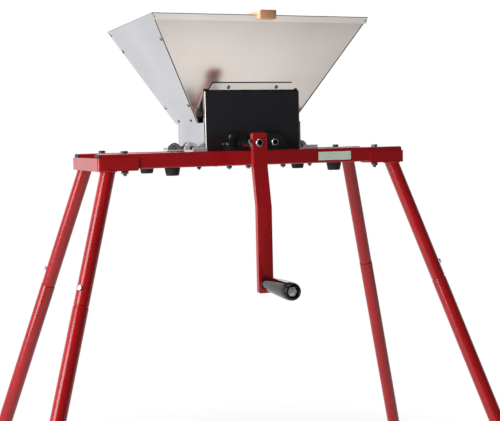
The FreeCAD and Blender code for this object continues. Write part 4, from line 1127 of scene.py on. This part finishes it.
def crankGrip():
    # Z runs from the crank towards the free end
    low, high, length = grip["base"] / 2, grip["end"] / 2, grip["length"]
    bore, well = grip["bore"] / 2, grip["recess"] / 2
    profile = [(bore, 0), (low - 2, 0), (low - 0.6, 0.6), (low, 2), (low, 5), (low - 0.5, 6.2),
               (low - 0.5, 7.4)]
    start, end, swell = grip["taperStart"], length - grip["taperEnd"], grip["swell"]
    for step in range(grip["taperSteps"] + 1):
        share = step / grip["taperSteps"]
        wide = share + swell * math.sin(math.pi * share)
        profile.append((low + (high - low) * wide, start + share * (end - start)))
    wellFloor = length - grip["recessDepth"]
    profile += [(high - 0.25, length - 11), (high - 1, length - 5), (high - 2, length - 2),
                (high - 3, length - 0.6), (high - 4.2, length), (well + 0.5, length), (well, length - 0.5),
                (well, wellFloor), (bore, wellFloor), (bore, 0)]
    handle = copiesAt(latheAroundZ(profile, grip["steps"]),
                      [(place(-shaftX, crankLow - grip["gap"], gripZ), Vector((0, -1, 0)))])
    smooth(handle, 40)
    standFor(handle, "turnedGrip", blackPlastic, "grip", "crank_grip")


# Feet, bumpers, weld beads, castings and the wooden bar

feet = {
    "wall": 3.1, "height": 36.0, "ribs": 4, "ribStep": 5.0, "ribDepth": 0.7, "plainTop": 8.0,
    "clearance": 0.1, "sole": 4.0, "reach": 14.0, "steps": 48,
}


def footCaps():
    top, _, lean, _ = legLine()
    floorZ = -drawingZero.z / mm
    ground = top + lean * ((floorZ - top.z) / lean.z)
    radius = stand["legRadius"] + feet["wall"]
    inner = stand["legRadius"] + feet["clearance"]
    high, groove = feet["height"], radius - feet["ribDepth"]
    first = high - feet["plainTop"] - feet["ribs"] * feet["ribStep"]
    profile = [(0, -feet["reach"]), (radius, -feet["reach"]), (radius, first)]
    for number in range(feet["ribs"]):
        base = first + number * feet["ribStep"]
        profile += [(groove, base + 0.8), (groove, base + 2.4), (radius, base + 3.2),
                    (radius, base + feet["ribStep"])]
    profile += [(radius, high - 1.2), (radius - 0.6, high - 0.3), (radius - 1.2, high), (inner, high),
                (inner, feet["sole"]), (0, feet["sole"])]
    cap = alongLeg(profile, feet["steps"], ground, lean)
    trimmed(cap, 0, False)
    caps = mirrored(cap)
    smooth(caps, 35)
    standFor(caps, "ribbedFeet", blackRubber, "frame", "foot_caps")


bumper = {"x": 176.0, "top": 31.0, "low": 26.0, "height": 16.0, "well": 12.0, "floor": 4.0, "rounding": 2.0,
          "hole": 2.8}


def bumpers():
    top, low, height = bumper["top"] / 2, bumper["low"] / 2, bumper["height"]
    rounding = bumper["rounding"]
    hole, well = bumper["hole"], bumper["well"] / 2
    profile = [(hole, 0), (top - 0.4, 0), (top, 0.5), (top, 1.6), (low, height - rounding)]
    for step in range(1, 5):
        turn = step / 4 * math.pi / 2
        inward, upward = 1 - math.cos(turn), math.sin(turn)
        profile.append((low - rounding * inward, height - rounding + rounding * upward))
    profile += [(well + 0.6, height), (well, height - 0.6), (well, bumper["floor"]), (hole, bumper["floor"]),
                (hole, 0)]
    spots = fourWays((bumper["x"], stand["railMiddle"], -stand["railHeight"]), down)
    feetUnder = copiesAt(latheAroundZ(profile, 48), spots)
    smooth(feetUnder, 35)
    standFor(feetUnder, "rubberFeetUnder", blackRubber, "frame", "rubber_bumpers")


weld = {"bead": 1.7, "offLeg": 0.2, "rings": 72, "ripple": 0.35, "rippleStep": 3}


def rippled(vertex):
    ring = math.atan2(vertex.co.y, vertex.co.x) / (2 * math.pi) * weld["rings"]
    return round(ring) % weld["rippleStep"] == 0


def legWelds():
    top, _, lean, _ = legLine()
    beads = []
    for point, tilt in fourWays((top.x, top.y, top.z), (lean.x, lean.y, lean.z)):
        bpy.ops.mesh.primitive_torus_add(major_radius=(stand["legRadius"] + weld["offLeg"]) * mm,
                                         minor_radius=weld["bead"] * mm,
                                         major_segments=weld["rings"], minor_segments=10)
        bead = bpy.context.object
        openMesh()
        pick(bead, "VERT", rippled)
        bpy.ops.transform.shrink_fatten(value=weld["ripple"] * mm)
        closeMesh()
        bead.scale = (1 / abs(tilt.z), 1, 1)
        bead.rotation_euler.z = math.atan2(tilt.y, tilt.x)
        bead.location = point
        settle(bead)
        beads.append(bead)
    allBeads = join(beads)
    smooth(allBeads, 60)
    standFor(allBeads, "legWelds", redPaint, "frame")


rounded = {"casting": 0.9, "bar": 0.7}


def castings():
    for node in ("front_bearing_left", "front_bearing_right", "rear_bearing_left", "rear_bearing_right"):
        block = softCopy(node, rounded["casting"])
        words = node.split("_")
        standFor(block, words[0] + "Block" + words[2].capitalize(), blackCasting, "frame", node)


def woodenBar():
    bar = softCopy("wooden_pusher", rounded["bar"])
    standFor(bar, "woodenBar", wood, "pusher", "wooden_pusher")


railFasteners()
legTubes()
legFasteners()
lugFasteners()
bearingFasteners()
sheetFasteners()
coverFasteners()
hopperSheets()
crankArm()
crankScrew()
gripFasteners()
crankGrip()
footCaps()
bumpers()
legWelds()
castings()
woodenBar()
print("pieces made")
